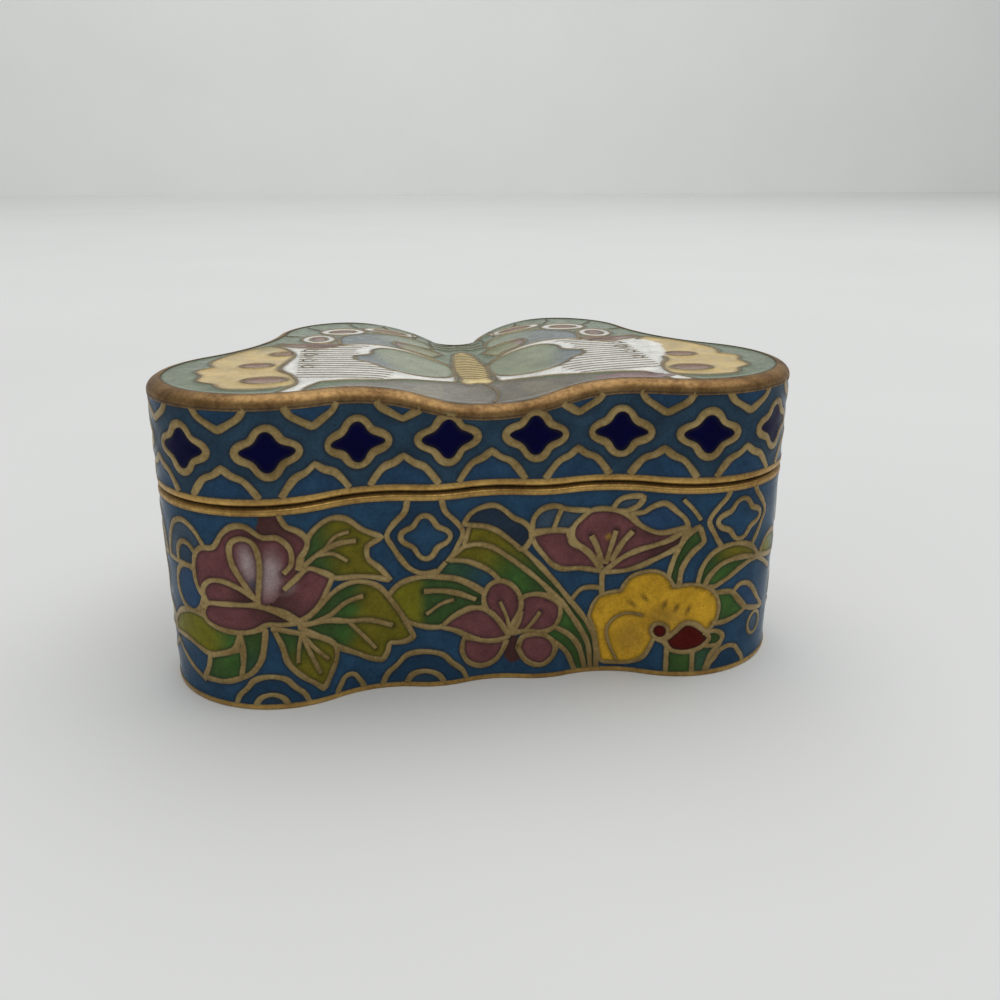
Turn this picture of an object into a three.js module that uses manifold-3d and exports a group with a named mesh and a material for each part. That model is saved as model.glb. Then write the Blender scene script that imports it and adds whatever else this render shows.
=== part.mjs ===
// A butterfly-shaped cloisonne enamel box: a hollow base and a lift-off lid. Each is an enamelled
// copper shell of true wall thickness, edged with gilt brass rims. The lid's top dips in a soft
// valley along the butterfly's body, from head to tail.
// Millimetres, +Z up. The butterfly's head points to -Y. The origin is on the surface that the box
// stands on, under the middle of its bounding box.
import * as THREE from 'three';
import { mergeVertices } from 'three/addons/utils/BufferGeometryUtils.js';
import Module from 'manifold-3d';

// Plan outline: three round lobes on each side of the body ...
const headLobe = { x: 5.88, y: -9.19, radius: 10.95 };
const foreWing = { x: 22.72, y: -10, radius: 12.28 };
const hindWing = { x: 12.53, y: 11.61, radius: 10.67 };
// ... joined by hollow curves that run smoothly into them
const headHollow = 11.9;
const shoulderHollow = 12.6;
const waistHollow = 23.3;
const tailHollow = 2.45;

// Heights
const boxHeight = 33.9;
const seamHeight = 22.7;
const footHeight = 0.55;
const baseRimHeight = 0.85;
const lidRimHeight = 0.95;
const topRimHeight = 1.15;

// The valley along the body: deeper at the head than at the tail
const valleyAtHead = 2.6;
const valleyAtTail = 1.7;
const valleyHalfWidth = 8.3;

// Shells and rims
const wall = 1.6;
const deckThickness = 1.8;
const rimProud = 0.1;
const rimChamfer = 0.2;
const seamGroove = 0.35;
const topRimWidth = 1.5;
const topRimClearance = 0.05;
const deckDrop = 0.05;
const lipRise = 1.4;
const lipThickness = 0.6;
const lipClearance = 0.3;

// How finely curves are stepped
const arcSag = 0.032;
const shoulderSteps = 4;
const valleyStep = 1.6;
const valleyReach = 19.2;

// Cutters reach this far past what they cut
const past = 8;

const wasm = await Module();
wasm.setup();

// Centre of the hollow circle of a given radius that touches two lobes from outside
function hollowBetween(first, second, radius) {
  const reachFirst = first.radius + radius;
  const reachSecond = second.radius + radius;
  const dx = second.x - first.x;
  const dy = second.y - first.y;
  const apart = Math.hypot(dx, dy);
  const along = (reachFirst ** 2 - reachSecond ** 2 + apart ** 2) / (2 * apart);
  const aside = Math.sqrt(reachFirst ** 2 - along ** 2);
  return {
    x: first.x + (dx * along + dy * aside) / apart,
    y: first.y + (dy * along - dx * aside) / apart,
    radius,
    hollow: true,
  };
}

function mirrored(arc) {
  return { ...arc, x: -arc.x };
}

// The closed chain of arcs, counterclockwise from the hollow at the head
function outlineArcs() {
  const halfChain = [
    headLobe,
    hollowBetween(headLobe, foreWing, shoulderHollow),
    foreWing,
    hollowBetween(foreWing, hindWing, waistHollow),
    hindWing,
  ];
  return [
    hollowBetween(mirrored(headLobe), headLobe, headHollow),
    ...halfChain,
    hollowBetween(hindWing, mirrored(hindWing), tailHollow),
    ...halfChain.map(mirrored).reverse(),
  ];
}

// Each arc's start and end angle, and how many steps it takes
function outlineSpans() {
  const arcs = outlineArcs();
  const angleTowards = (from, to) => Math.atan2(to.y - from.y, to.x - from.x);
  return arcs.map((arc, i) => {
    const before = arcs[(i + arcs.length - 1) % arcs.length];
    const after = arcs[(i + 1) % arcs.length];
    const start = angleTowards(arc, before);
    let sweep = angleTowards(arc, after) - start;
    if (arc.hollow && sweep > 0) sweep -= 2 * Math.PI;
    if (!arc.hollow && sweep < 0) sweep += 2 * Math.PI;
    const stepAngle = 2 * Math.acos(1 - arcSag / arc.radius);
    return { arc, start, sweep, steps: Math.ceil(Math.abs(sweep) / stepAngle) };
  });
}

const spans = outlineSpans();

// The outline moved in by an inset
function outlineAt(inset) {
  const points = [];
  for (const { arc, start, sweep, steps } of spans) {
    const radius = arc.hollow ? arc.radius + inset : arc.radius - inset;
    for (let i = 0; i < steps; i += 1) {
      const angle = start + (sweep * i) / steps;
      points.push(new THREE.Vector2(arc.x + radius * Math.cos(angle), arc.y + radius * Math.sin(angle)));
    }
  }
  return points;
}

// Height of the lid's top edge over a point in plan
function topHeight(x, y) {
  const towardsTail = (y + hindWing.y + hindWing.radius) / (2 * (hindWing.y + hindWing.radius));
  const depth = THREE.MathUtils.lerp(valleyAtHead, valleyAtTail, towardsTail);
  return boxHeight - depth * Math.exp(-((x / valleyHalfWidth) ** 2));
}

// A body swept round the outline. Its section is a list of [inset, z]: a closed loop makes a ring,
// an open line makes a body whose first and last outlines are filled in. With onTop, z is measured
// from the lid's top edge.
function swept(section, { closed = false, onTop = false } = {}) {
  const rings = section.map(([inset]) => outlineAt(inset));
  const count = rings[0].length;
  const positions = [];
  rings.forEach((ring, k) => {
    const z = section[k][1];
    for (const { x, y } of ring) positions.push(x, y, onTop ? topHeight(x, y) + z : z);
  });
  const triangles = [];
  const lastRing = closed ? rings.length : rings.length - 1;
  for (let k = 0; k < lastRing; k += 1) {
    const low = k * count;
    const high = ((k + 1) % rings.length) * count;
    for (let i = 0; i < count; i += 1) {
      const next = (i + 1) % count;
      triangles.push(low + i, low + next, high + next);
      triangles.push(low + i, high + next, high + i);
    }
  }
  if (!closed) {
    const offset = (rings.length - 1) * count;
    for (const [a, b, c] of THREE.ShapeUtils.triangulateShape(rings[0], [])) triangles.push(c, b, a);
    for (const [a, b, c] of THREE.ShapeUtils.triangulateShape(rings.at(-1), [])) {
      triangles.push(offset + a, offset + b, offset + c);
    }
  }
  const geometry = new THREE.BufferGeometry();
  geometry.setAttribute('position', new THREE.Float32BufferAttribute(positions, 3));
  geometry.setIndex(triangles);
  return geometry;
}

function toSolid(geometry) {
  const merged = geometry.clone();
  merged.deleteAttribute('normal');
  merged.deleteAttribute('uv');
  const welded = mergeVertices(merged);
  return new wasm.Manifold(new wasm.Mesh({
    numProp: 3,
    vertProperties: new Float32Array(welded.attributes.position.array),
    triVerts: new Uint32Array(welded.index.array),
  }));
}

function toGeometry(solid) {
  const mesh = solid.getMesh();
  const geometry = new THREE.BufferGeometry();
  geometry.setAttribute('position', new THREE.BufferAttribute(new Float32Array(mesh.vertProperties), 3));
  geometry.setIndex(new THREE.BufferAttribute(new Uint32Array(mesh.triVerts), 1));
  return geometry;
}

// All the space above a sheet that lies some way below the lid's top edge
function spaceAboveTop(below) {
  const halfLength = foreWing.x + foreWing.radius + past;
  const halfDepth = hindWing.y + hindWing.radius + past;
  const sheet = new THREE.Shape();
  sheet.moveTo(-halfLength, 0);
  for (let x = -valleyReach; x <= valleyReach; x += valleyStep) sheet.lineTo(x, 0);
  sheet.lineTo(halfLength, 0);
  sheet.lineTo(halfLength, past);
  sheet.lineTo(-halfLength, past);
  const geometry = new THREE.ExtrudeGeometry(sheet, { depth: 2 * halfDepth, bevelEnabled: false, steps: 1 });
  geometry.rotateX(Math.PI / 2);
  geometry.translate(0, halfDepth, 0);
  const position = geometry.attributes.position;
  for (let i = 0; i < position.count; i += 1) {
    const onSheet = position.getZ(i) < past / 2;
    const z = onSheet ? topHeight(position.getX(i), position.getY(i)) - below : boxHeight + past;
    position.setZ(i, z);
  }
  return toSolid(geometry);
}

function blockWithin(inset, low, high) {
  return toSolid(swept([[inset, low], [inset, high]]));
}

// The base: a cup with a flat floor
function baseBody() {
  const top = seamHeight - baseRimHeight;
  return swept([
    [0, footHeight],
    [0, top],
    [wall, top],
    [wall, footHeight + wall],
  ]);
}

// The ring that the box stands on
function baseFootRim() {
  return swept([
    [-rimProud, rimChamfer],
    [-rimProud, footHeight],
    [wall, footHeight],
    [wall, 0],
    [rimChamfer - rimProud, 0],
  ], { closed: true });
}

// The ring on the base's edge, with the inner lip that keeps the lid in its place
function baseMouthRim() {
  const bottom = seamHeight - baseRimHeight;
  const lipOutside = wall + lipClearance;
  const lipInside = lipOutside + lipThickness;
  return swept([
    [-rimProud, bottom],
    [-rimProud, seamHeight - rimChamfer],
    [seamGroove, seamHeight],
    [lipOutside, seamHeight],
    [lipOutside, seamHeight + lipRise],
    [lipInside, seamHeight + lipRise],
    [lipInside, bottom],
  ], { closed: true });
}

// The ring on the lid's lower edge, which rests on the base
function lidMouthRim() {
  const top = seamHeight + lidRimHeight;
  return swept([
    [seamGroove, seamHeight],
    [-rimProud, seamHeight + rimChamfer],
    [-rimProud, top],
    [wall, top],
    [wall, seamHeight],
  ], { closed: true });
}

// The lid: a skirt and a deck that follows the valley, with a step round it for the top rim
function lidBody() {
  const bottom = seamHeight + lidRimHeight;
  const above = boxHeight + past / 2;
  const skirt = blockWithin(0, bottom, above).subtract(spaceAboveTop(topRimHeight + topRimClearance));
  const deck = blockWithin(topRimWidth + topRimClearance, bottom, above).subtract(spaceAboveTop(deckDrop));
  const hollow = blockWithin(wall, bottom - past, above).subtract(spaceAboveTop(deckThickness));
  return toGeometry(skirt.add(deck).subtract(hollow));
}

// The ring round the lid's top edge, rising and falling with it: a rounded shoulder
function lidTopRim() {
  const section = [];
  for (let i = 0; i <= shoulderSteps; i += 1) {
    const angle = (i / shoulderSteps) * (Math.PI / 2);
    const inset = (topRimWidth + rimProud) * (1 - Math.cos(angle)) - rimProud;
    section.push([inset, topRimHeight * (Math.sin(angle) - 1)]);
  }
  section.push([topRimWidth, -topRimHeight]);
  return swept(section, { closed: true, onTop: true });
}

const enamel = { color: 0x2f5578, roughness: 0.25, metalness: 0 };
const topEnamel = { color: 0xb9c2bb, roughness: 0.22, metalness: 0 };
const gilt = { color: 0xa9813f, roughness: 0.35, metalness: 1 };

function piece(name, geometry, finish) {
  const mesh = new THREE.Mesh(geometry, new THREE.MeshStandardMaterial(finish));
  mesh.name = name;
  return mesh;
}

const box = new THREE.Group();
box.add(
  piece('base_body', baseBody(), enamel),
  piece('base_foot_rim', baseFootRim(), gilt),
  piece('base_mouth_rim', baseMouthRim(), gilt),
  piece('lid_body', lidBody(), topEnamel),
  piece('lid_mouth_rim', lidMouthRim(), gilt),
  piece('lid_top_rim', lidTopRim(), gilt),
);

export default box;
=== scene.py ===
# A butterfly-shaped cloisonne enamel box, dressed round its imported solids. Lengths are in
# millimetres, and are turned into metres as each mesh is laid. The walls are drawn flat, in
# (s, z): s runs along the outline from the middle of the front, towards +X, and z is height.
import math

import bpy
import numpy as np
from mathutils import Matrix, Vector, kdtree


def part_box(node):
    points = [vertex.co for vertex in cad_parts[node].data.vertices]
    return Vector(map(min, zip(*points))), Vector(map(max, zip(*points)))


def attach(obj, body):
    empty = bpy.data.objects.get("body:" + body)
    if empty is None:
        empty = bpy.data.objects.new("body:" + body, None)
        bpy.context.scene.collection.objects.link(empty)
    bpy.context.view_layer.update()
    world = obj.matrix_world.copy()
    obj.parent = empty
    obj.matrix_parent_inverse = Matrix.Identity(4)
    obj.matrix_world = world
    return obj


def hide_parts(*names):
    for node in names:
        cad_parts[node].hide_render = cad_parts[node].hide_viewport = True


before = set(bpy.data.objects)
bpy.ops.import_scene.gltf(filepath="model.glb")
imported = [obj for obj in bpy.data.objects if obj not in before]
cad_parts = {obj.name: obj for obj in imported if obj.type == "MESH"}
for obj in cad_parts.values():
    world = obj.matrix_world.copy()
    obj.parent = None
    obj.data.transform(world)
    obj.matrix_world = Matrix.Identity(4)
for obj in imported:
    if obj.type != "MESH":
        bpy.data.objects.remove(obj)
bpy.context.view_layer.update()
MM = 0.001


def heights_of(node):
    """Lowest and highest z of a solid, in millimetres."""
    low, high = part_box(node)
    return low.z / MM, high.z / MM


# ---------------------------------------------------------------- camera

CAMERA_PLACE = (-14.3, -114.52, 55.53)
CAMERA_TURN = math.radians(9.06)
CAMERA_DIP = math.radians(19.57)
CAMERA_ROLL = math.radians(0.12)
SENSOR_WIDTH = 36.0
LENS = 34.96


def make_camera():
    forward = Vector((
        math.sin(CAMERA_TURN) * math.cos(CAMERA_DIP),
        math.cos(CAMERA_TURN) * math.cos(CAMERA_DIP),
        -math.sin(CAMERA_DIP),
    ))
    level = Vector((math.cos(CAMERA_TURN), -math.sin(CAMERA_TURN), 0))
    upright = level.cross(forward)
    right = level * math.cos(CAMERA_ROLL) + upright * math.sin(CAMERA_ROLL)
    up = right.cross(forward)
    data = bpy.data.cameras.new("camera")
    data.sensor_width = SENSOR_WIDTH
    data.lens = LENS
    data.clip_start = 0.001
    camera = bpy.data.objects.new("camera", data)
    turn = Matrix((right, up, -forward)).transposed().to_4x4()
    camera.matrix_world = Matrix.Translation(Vector(CAMERA_PLACE) * MM) @ turn
    bpy.context.scene.collection.objects.link(camera)
    bpy.context.scene.camera = camera


make_camera()

# ---------------------------------------------------------------- the outline and its heights

# The lobes (x, y, radius) on the right side, and the hollow curves between them, as in the solids
HEAD_LOBE = (5.88, -9.19, 10.95)
FORE_WING = (22.72, -10.0, 12.28)
HIND_WING = (12.53, 11.61, 10.67)
HEAD_HOLLOW = 11.9
SHOULDER_HOLLOW = 12.6
WAIST_HOLLOW = 23.3
TAIL_HOLLOW = 2.45

FOOT_TOP = heights_of("base_body")[0]
BASE_TOP = heights_of("base_body")[1]
SEAM = heights_of("lid_mouth_rim")[0]
SKIRT_FOOT = heights_of("lid_mouth_rim")[1]
BOX_TOP = heights_of("lid_top_rim")[1]
WALL = 1.6
TOP_RIM_HEIGHT = 1.15
TOP_RIM_WIDTH = 1.5
RIM_PROUD = 0.07
DECK_DROP = 0.05
DECK_THICKNESS = 1.75
VALLEY_AT_HEAD = 2.6
VALLEY_AT_TAIL = 1.7
VALLEY_HALF_WIDTH = 8.3


class Outline:
    """The chain of arcs round the box. Points on it are given by s and by how far inside they lie."""

    def __init__(self):
        half = [
            (*HEAD_LOBE, 1),
            self.hollow(HEAD_LOBE, FORE_WING, SHOULDER_HOLLOW),
            (*FORE_WING, 1),
            self.hollow(FORE_WING, HIND_WING, WAIST_HOLLOW),
            (*HIND_WING, 1),
        ]
        other_half = [(-x, y, r, side) for x, y, r, side in reversed(half)]
        head = self.hollow((-HEAD_LOBE[0], *HEAD_LOBE[1:]), HEAD_LOBE, HEAD_HOLLOW)
        tail = self.hollow(HIND_WING, (-HIND_WING[0], *HIND_WING[1:]), TAIL_HOLLOW)
        arcs = [head, *half, tail, *other_half]
        rows = []
        for i, (x, y, r, side) in enumerate(arcs):
            before = arcs[i - 1]
            after = arcs[(i + 1) % len(arcs)]
            start = math.atan2(before[1] - y, before[0] - x)
            sweep = (math.atan2(after[1] - y, after[0] - x) - start) * side % math.tau * side
            rows.append((x, y, r, side, start, sweep))
        self.arcs = np.array(rows)
        lengths = self.arcs[:, 2] * np.abs(self.arcs[:, 5])
        self.ends = np.cumsum(lengths)
        self.starts = self.ends - lengths
        self.around = self.ends[-1]
        self.front = lengths[0] / 2

    @staticmethod
    def hollow(first, second, radius):
        """The arc of a given radius that touches two lobes from outside."""
        reach_first = first[2] + radius
        reach_second = second[2] + radius
        dx = second[0] - first[0]
        dy = second[1] - first[1]
        apart = math.hypot(dx, dy)
        along = (reach_first**2 - reach_second**2 + apart**2) / (2 * apart)
        aside = math.sqrt(reach_first**2 - along**2)
        x = first[0] + (dx * along + dy * aside) / apart
        y = first[1] + (dy * along - dx * aside) / apart
        return (x, y, radius, -1)

    def at(self, s, inset=0.0):
        """x and y of points at s along the outline, moved in by inset."""
        run = (np.asarray(s, float) + self.front) % self.around
        k = np.minimum(np.searchsorted(self.ends, run, side="right"), len(self.ends) - 1)
        x, y, r, side, start, _sweep = np.moveaxis(self.arcs[k], -1, 0)
        angle = start + (run - self.starts[k]) / r * side
        reach = r - side * inset
        return x + reach * np.cos(angle), y + reach * np.sin(angle)


outline = Outline()
AROUND = outline.around


def top_height(x, y):
    """Height of the lid's top edge, which dips along the body."""
    back = HIND_WING[1] + HIND_WING[2]
    depth = VALLEY_AT_HEAD + (VALLEY_AT_TAIL - VALLEY_AT_HEAD) * (y + back) / (2 * back)
    return BOX_TOP - depth * np.exp(-((x / VALLEY_HALF_WIDTH) ** 2))


def top_height_round(s):
    """The same height over the outline."""
    return top_height(*outline.at(s))


def on_wall(s, z, out=0.0):
    """Points of a wall, a little outside it where out is above 0."""
    x, y = outline.at(s, -np.asarray(out))
    return np.stack([x, y, np.broadcast_to(z, x.shape)], axis=-1)


def on_deck(x, y, out=0.0):
    """Points of the lid's top."""
    x = np.asarray(x, float)
    y = np.asarray(y, float)
    return np.stack([x, y, top_height(x, y) - DECK_DROP + out], axis=-1)


# ---------------------------------------------------------------- lines and cells

CURVE_STEP = 0.3
FINE_STEP = 0.1
FEWEST_POINTS = 8


def smooth(points, closed=False):
    """A smooth line through a few points, as a wire takes when it is bent by hand."""
    p = np.array(points, float)
    if closed:
        p = np.vstack([p[-1:], p, p[:2]])
    else:
        p = np.vstack([2 * p[0] - p[1], p, 2 * p[-1] - p[-2]])
    gaps = np.maximum(np.linalg.norm(np.diff(p, axis=0), axis=1), 1e-6) ** 0.5
    line = []
    for i in range(1, len(p) - 2):
        a, b, c, d = p[i - 1 : i + 3]
        ga, gb, gc = gaps[i - 1 : i + 2]
        leave = (b - a) / ga - (c - a) / (ga + gb) + (c - b) / gb
        arrive = (c - b) / gb - (d - b) / (gb + gc) + (d - c) / gc
        steps = max(2, int(np.linalg.norm(c - b) / CURVE_STEP))
        t = (np.arange(steps) / steps)[:, None]
        m0 = leave * gb
        m1 = arrive * gb
        line.append(
            (2 * t**3 - 3 * t**2 + 1) * b + (t**3 - 2 * t**2 + t) * m0
            + (3 * t**2 - 2 * t**3) * c + (t**3 - t**2) * m1
        )
    if not closed:
        line.append(p[-2:-1])
    return np.vstack(line)


def outline_of(*strokes):
    """A closed outline from smooth strokes, with a corner where each meets the next."""
    return np.vstack([smooth(stroke)[:-1] for stroke in strokes])


def oval(centre, half, tilt=0.0, steps=28):
    angle = np.arange(steps) / steps * math.tau
    x = half[0] * np.cos(angle)
    y = half[1] * np.sin(angle)
    turn = math.radians(tilt)
    return np.stack([
        centre[0] + x * math.cos(turn) - y * math.sin(turn),
        centre[1] + x * math.sin(turn) + y * math.cos(turn),
    ], axis=1)


def quatrefoil(centre, half, waist=0.68, steps=56):
    """Four rounded lobes. The waist between two lobes is a share of a lobe's reach."""
    angle = np.arange(steps) / steps * math.tau
    reach = (1 + waist) / 2 + (1 - waist) / 2 * np.cos(4 * angle)
    return np.stack([
        centre[0] + half[0] * reach * np.cos(angle),
        centre[1] + half[1] * reach * np.sin(angle),
    ], axis=1)


def inside(points, polygon):
    """Which of the points lie inside a closed outline."""
    found = np.zeros(len(points), bool)
    low = polygon.min(axis=0)
    high = polygon.max(axis=0)
    near = np.nonzero(np.all((points >= low) & (points <= high), axis=1))[0]
    if len(near) == 0:
        return found
    px = points[near, 0][:, None]
    py = points[near, 1][:, None]
    ax, ay = polygon.T
    bx, by = np.roll(polygon, -1, axis=0).T
    spans = (ay > py) != (by > py)
    rise = np.where(by == ay, 1.0, by - ay)
    crossing = ax + (py - ay) / rise * (bx - ax)
    found[near] = np.sum(spans & (px < crossing), axis=1) % 2 == 1
    return found


def linear(colour):
    """A colour given in 0 to 255 as it is seen, as linear light."""
    c = np.array(colour, float) / 255
    return np.where(c <= 0.04045, c / 12.92, ((c + 0.055) / 1.055) ** 2.4)


class Enamelling:
    """What is drawn on one surface: cells of glaze, and the wires round and across them, in the
    order in which they are laid. A later cell covers what lies under it."""

    def __init__(self, ground, wire, period=None):
        self.ground = linear(ground)
        self.wire = wire
        self.period = period
        self.steps = []
        self.offset = 0.0
        self.flip = 1

    def at(self, offset=0.0, flip=1):
        """From now on, what is drawn is moved along by offset, and mirrored where flip is -1."""
        self.offset = offset
        self.flip = flip
        return self

    def moved(self, line):
        line = np.array(line, float)
        line[:, 0] = line[:, 0] * self.flip + self.offset
        if self.period:
            line[:, 0] -= round(line[:, 0].mean() / self.period) * self.period
        return line

    def cell(self, line, glaze, towards=None, start=None, end=None, wire=None):
        """A cell of glaze, which may blend into a second one from start to end."""
        blend = None
        if towards is not None:
            centre = self.moved(line).mean(axis=0)
            ends = self.moved([start, end])
            if self.period:
                ends[:, 0] += np.round((centre[0] - ends[:, 0]) / self.period) * self.period
            blend = (linear(towards), ends)
        width = self.wire if wire is None else wire
        self.steps.append(("cell", self.moved(line), linear(glaze), blend, width))

    def wash(self, centre, half, glaze, tilt=0.0, strength=1.0):
        """A soft patch of another colour in the cell that was drawn last."""
        line = self.moved(oval(centre, half, tilt))
        self.steps.append(("wash", line, linear(glaze), strength, 0.0))

    def line(self, points, width=None):
        """A wire that bounds no cell."""
        width = self.wire if width is None else width
        self.steps.append(("line", self.moved(smooth(points)), None, None, width))

    def nearest_turn(self, points, line):
        """The points, each taken once round the box if that brings it to the line."""
        if not self.period:
            return points
        shifted = points.copy()
        centre = (line[:, 0].min() + line[:, 0].max()) / 2
        shifted[:, 0] -= np.round((shifted[:, 0] - centre) / self.period) * self.period
        return shifted

    def colours(self, points):
        """The glaze at each point, in linear light."""
        colour = np.tile(self.ground, (len(points), 1))
        last = np.ones(len(points), bool)
        for kind, line, glaze, extra, _width in self.steps:
            if kind == "line":
                continue
            here = self.nearest_turn(points, line)
            if kind == "wash":
                centre = line.mean(axis=0)
                half = np.array([[line[0] - centre], [line[len(line) // 4] - centre]])[:, 0]
                local = (here - centre) @ np.linalg.inv(half)
                soft = np.clip(1 - np.linalg.norm(local, axis=1), 0, 1)
                soft = (soft * soft * (3 - 2 * soft) * last * extra)[:, None]
                colour = colour * (1 - soft) + glaze * soft
                continue
            last = inside(here, line)
            if extra is None:
                colour[last] = glaze
                continue
            second, (start, end) = extra
            way = end - start
            share = np.clip((here[last] - start) @ way / (way @ way), 0, 1)[:, None]
            share = share * share * (3 - 2 * share)
            colour[last] = glaze * (1 - share) + second * share
        return colour

    def wires(self):
        """The stretches of wire that no later cell covers, as (line, width)."""
        found = []
        for k, (kind, line, _glaze, _extra, width) in enumerate(self.steps):
            if kind == "wash" or width <= 0:
                continue
            loop = kind == "cell"
            line = respaced(np.vstack([line, line[:1]]))[:-1] if loop else respaced(line)
            seen = np.ones(len(line), bool)
            for later in self.steps[k + 1 :]:
                if later[0] == "cell":
                    seen &= ~inside(self.nearest_turn(line, later[1]), later[1])
            if loop and seen.all():
                found.append((np.vstack([line, line[:3]]), width))
                continue
            if loop:
                hidden = np.argmin(seen)
                line = np.roll(line, -hidden, axis=0)
                seen = np.roll(seen, -hidden)
            for stretch in runs_of(seen):
                if len(stretch) > 3:
                    first = max(stretch[0] - 1, 0)
                    found.append((line[first : stretch[-1] + 2], width))
        return found


def respaced(line, step=CURVE_STEP):
    """The same line with its points an even step apart."""
    run = np.r_[0, np.cumsum(np.linalg.norm(np.diff(line, axis=0), axis=1))]
    count = max(3, int(round(run[-1] / step)) + 1)
    even = np.linspace(0, run[-1], count)
    return np.stack([np.interp(even, run, line[:, 0]), np.interp(even, run, line[:, 1])], axis=1)


def runs_of(flags):
    """Index ranges of the stretches where the flags hold."""
    edges = np.flatnonzero(np.diff(np.r_[False, flags, False].astype(int)))
    return [np.arange(a, b) for a, b in zip(edges[::2], edges[1::2])]


# ---------------------------------------------------------------- glazes

NAVY = (0, 0, 50)
GROUND_BLUE = (42, 72, 98)
DEEP_BLUE = (38, 64, 88)
CLEAR_BLUE = (46, 74, 106)
STEEL_BLUE = (45, 67, 85)
SLATE = (62, 80, 96)
MAUVE = (114, 70, 72)
DARK_MAUVE = (80, 52, 50)
PINK_WHITE = (170, 152, 152)
DARK_GREEN = (60, 84, 44)
GREEN = (66, 100, 48)
OLIVE = (112, 104, 32)
YELLOW_GREEN = (120, 116, 32)
TEAL = (56, 84, 62)
YELLOW = (206, 159, 46)
OCHRE = (176, 136, 52)
BROWN = (112, 84, 36)
DARK_RED = (84, 22, 17)
CLOUD_BLUE = (42, 56, 72)

# ---------------------------------------------------------------- the base wall's flowers

WALL_WIRE = 0.62
FINE_WIRE = 0.45
FOOT_LINE = FOOT_TOP - 0.3
SEAM_LINE = BASE_TOP + 0.2


def foot_cloud(work, middle, half, height, core=True):
    """A low cloud that rises from the foot rim, with a smaller one inside it."""
    rise = height - FOOT_LINE
    shares = [(-1, 0), (-0.86, 0.36), (-0.62, 0.62), (-0.42, 0.88), (0, 1)]
    left = [(middle + half * u, FOOT_LINE + rise * v) for u, v in shares]
    right = [(2 * middle - s, z) for s, z in reversed(left[:-1])]
    work.cell(outline_of(left + right, [right[-1], left[0]]), DEEP_BLUE)
    if core:
        low = [(middle + half * u, FOOT_LINE + rise * v) for u, v in
               [(-0.46, 0), (-0.3, 0.3), (0, 0.42), (0.3, 0.3), (0.46, 0)]]
        work.cell(outline_of(low, [low[-1], low[0]]), STEEL_BLUE)


def cloud_scroll(work):
    """The cloud at the left end of the front, curling over a round cell."""
    work.cell(outline_of(
        [(-36.9, 15.7), (-36.2, 18.3), (-35.0, 20.0), (-33.3, 20.6), (-31.7, 19.8), (-30.5, 18.2)],
        [(-30.5, 18.2), (-31.8, 16.8), (-32.0, 15.4)],
        [(-32.0, 15.4), (-34.6, 15.6), (-36.9, 15.7)],
    ), SLATE)
    work.cell(outline_of(
        [(-34.8, 15.6), (-34.8, 17.0), (-33.9, 18.1), (-32.8, 18.1), (-31.8, 17.2)],
        [(-31.8, 17.2), (-32.0, 15.6)],
        [(-32.0, 15.6), (-34.8, 15.6)],
    ), STEEL_BLUE)
    work.cell(oval((-33.4, 13.0), (2.2, 2.6)), CLEAR_BLUE)


def upper_leaf(work):
    """The three-tipped leaf above the peony's right side."""
    work.cell(outline_of(
        [(-20.6, 15.9), (-20.0, 18.4), (-18.9, 19.9), (-17.2, 20.7), (-15.5, 20.4), (-13.7, 18.9),
         (-11.7, 17.9)],
        [(-11.7, 17.9), (-13.4, 17.0)],
        [(-13.4, 17.0), (-13.3, 15.6), (-12.1, 14.4), (-11.0, 12.9)],
        [(-11.0, 12.9), (-13.5, 13.6), (-16.6, 14.0), (-18.4, 14.6), (-20.6, 15.9)],
    ), DARK_GREEN, towards=OLIVE, start=(-18.9, 16.5), end=(-15.6, 17.0))
    work.line([(-20.3, 16.1), (-18.6, 17.2), (-16.6, 17.8), (-14.5, 17.8)])
    work.line([(-17.9, 17.5), (-16.8, 18.6), (-15.2, 18.9)], FINE_WIRE)
    work.line([(-18.9, 17.0), (-17.2, 16.9), (-15.5, 15.7)], FINE_WIRE)


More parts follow.
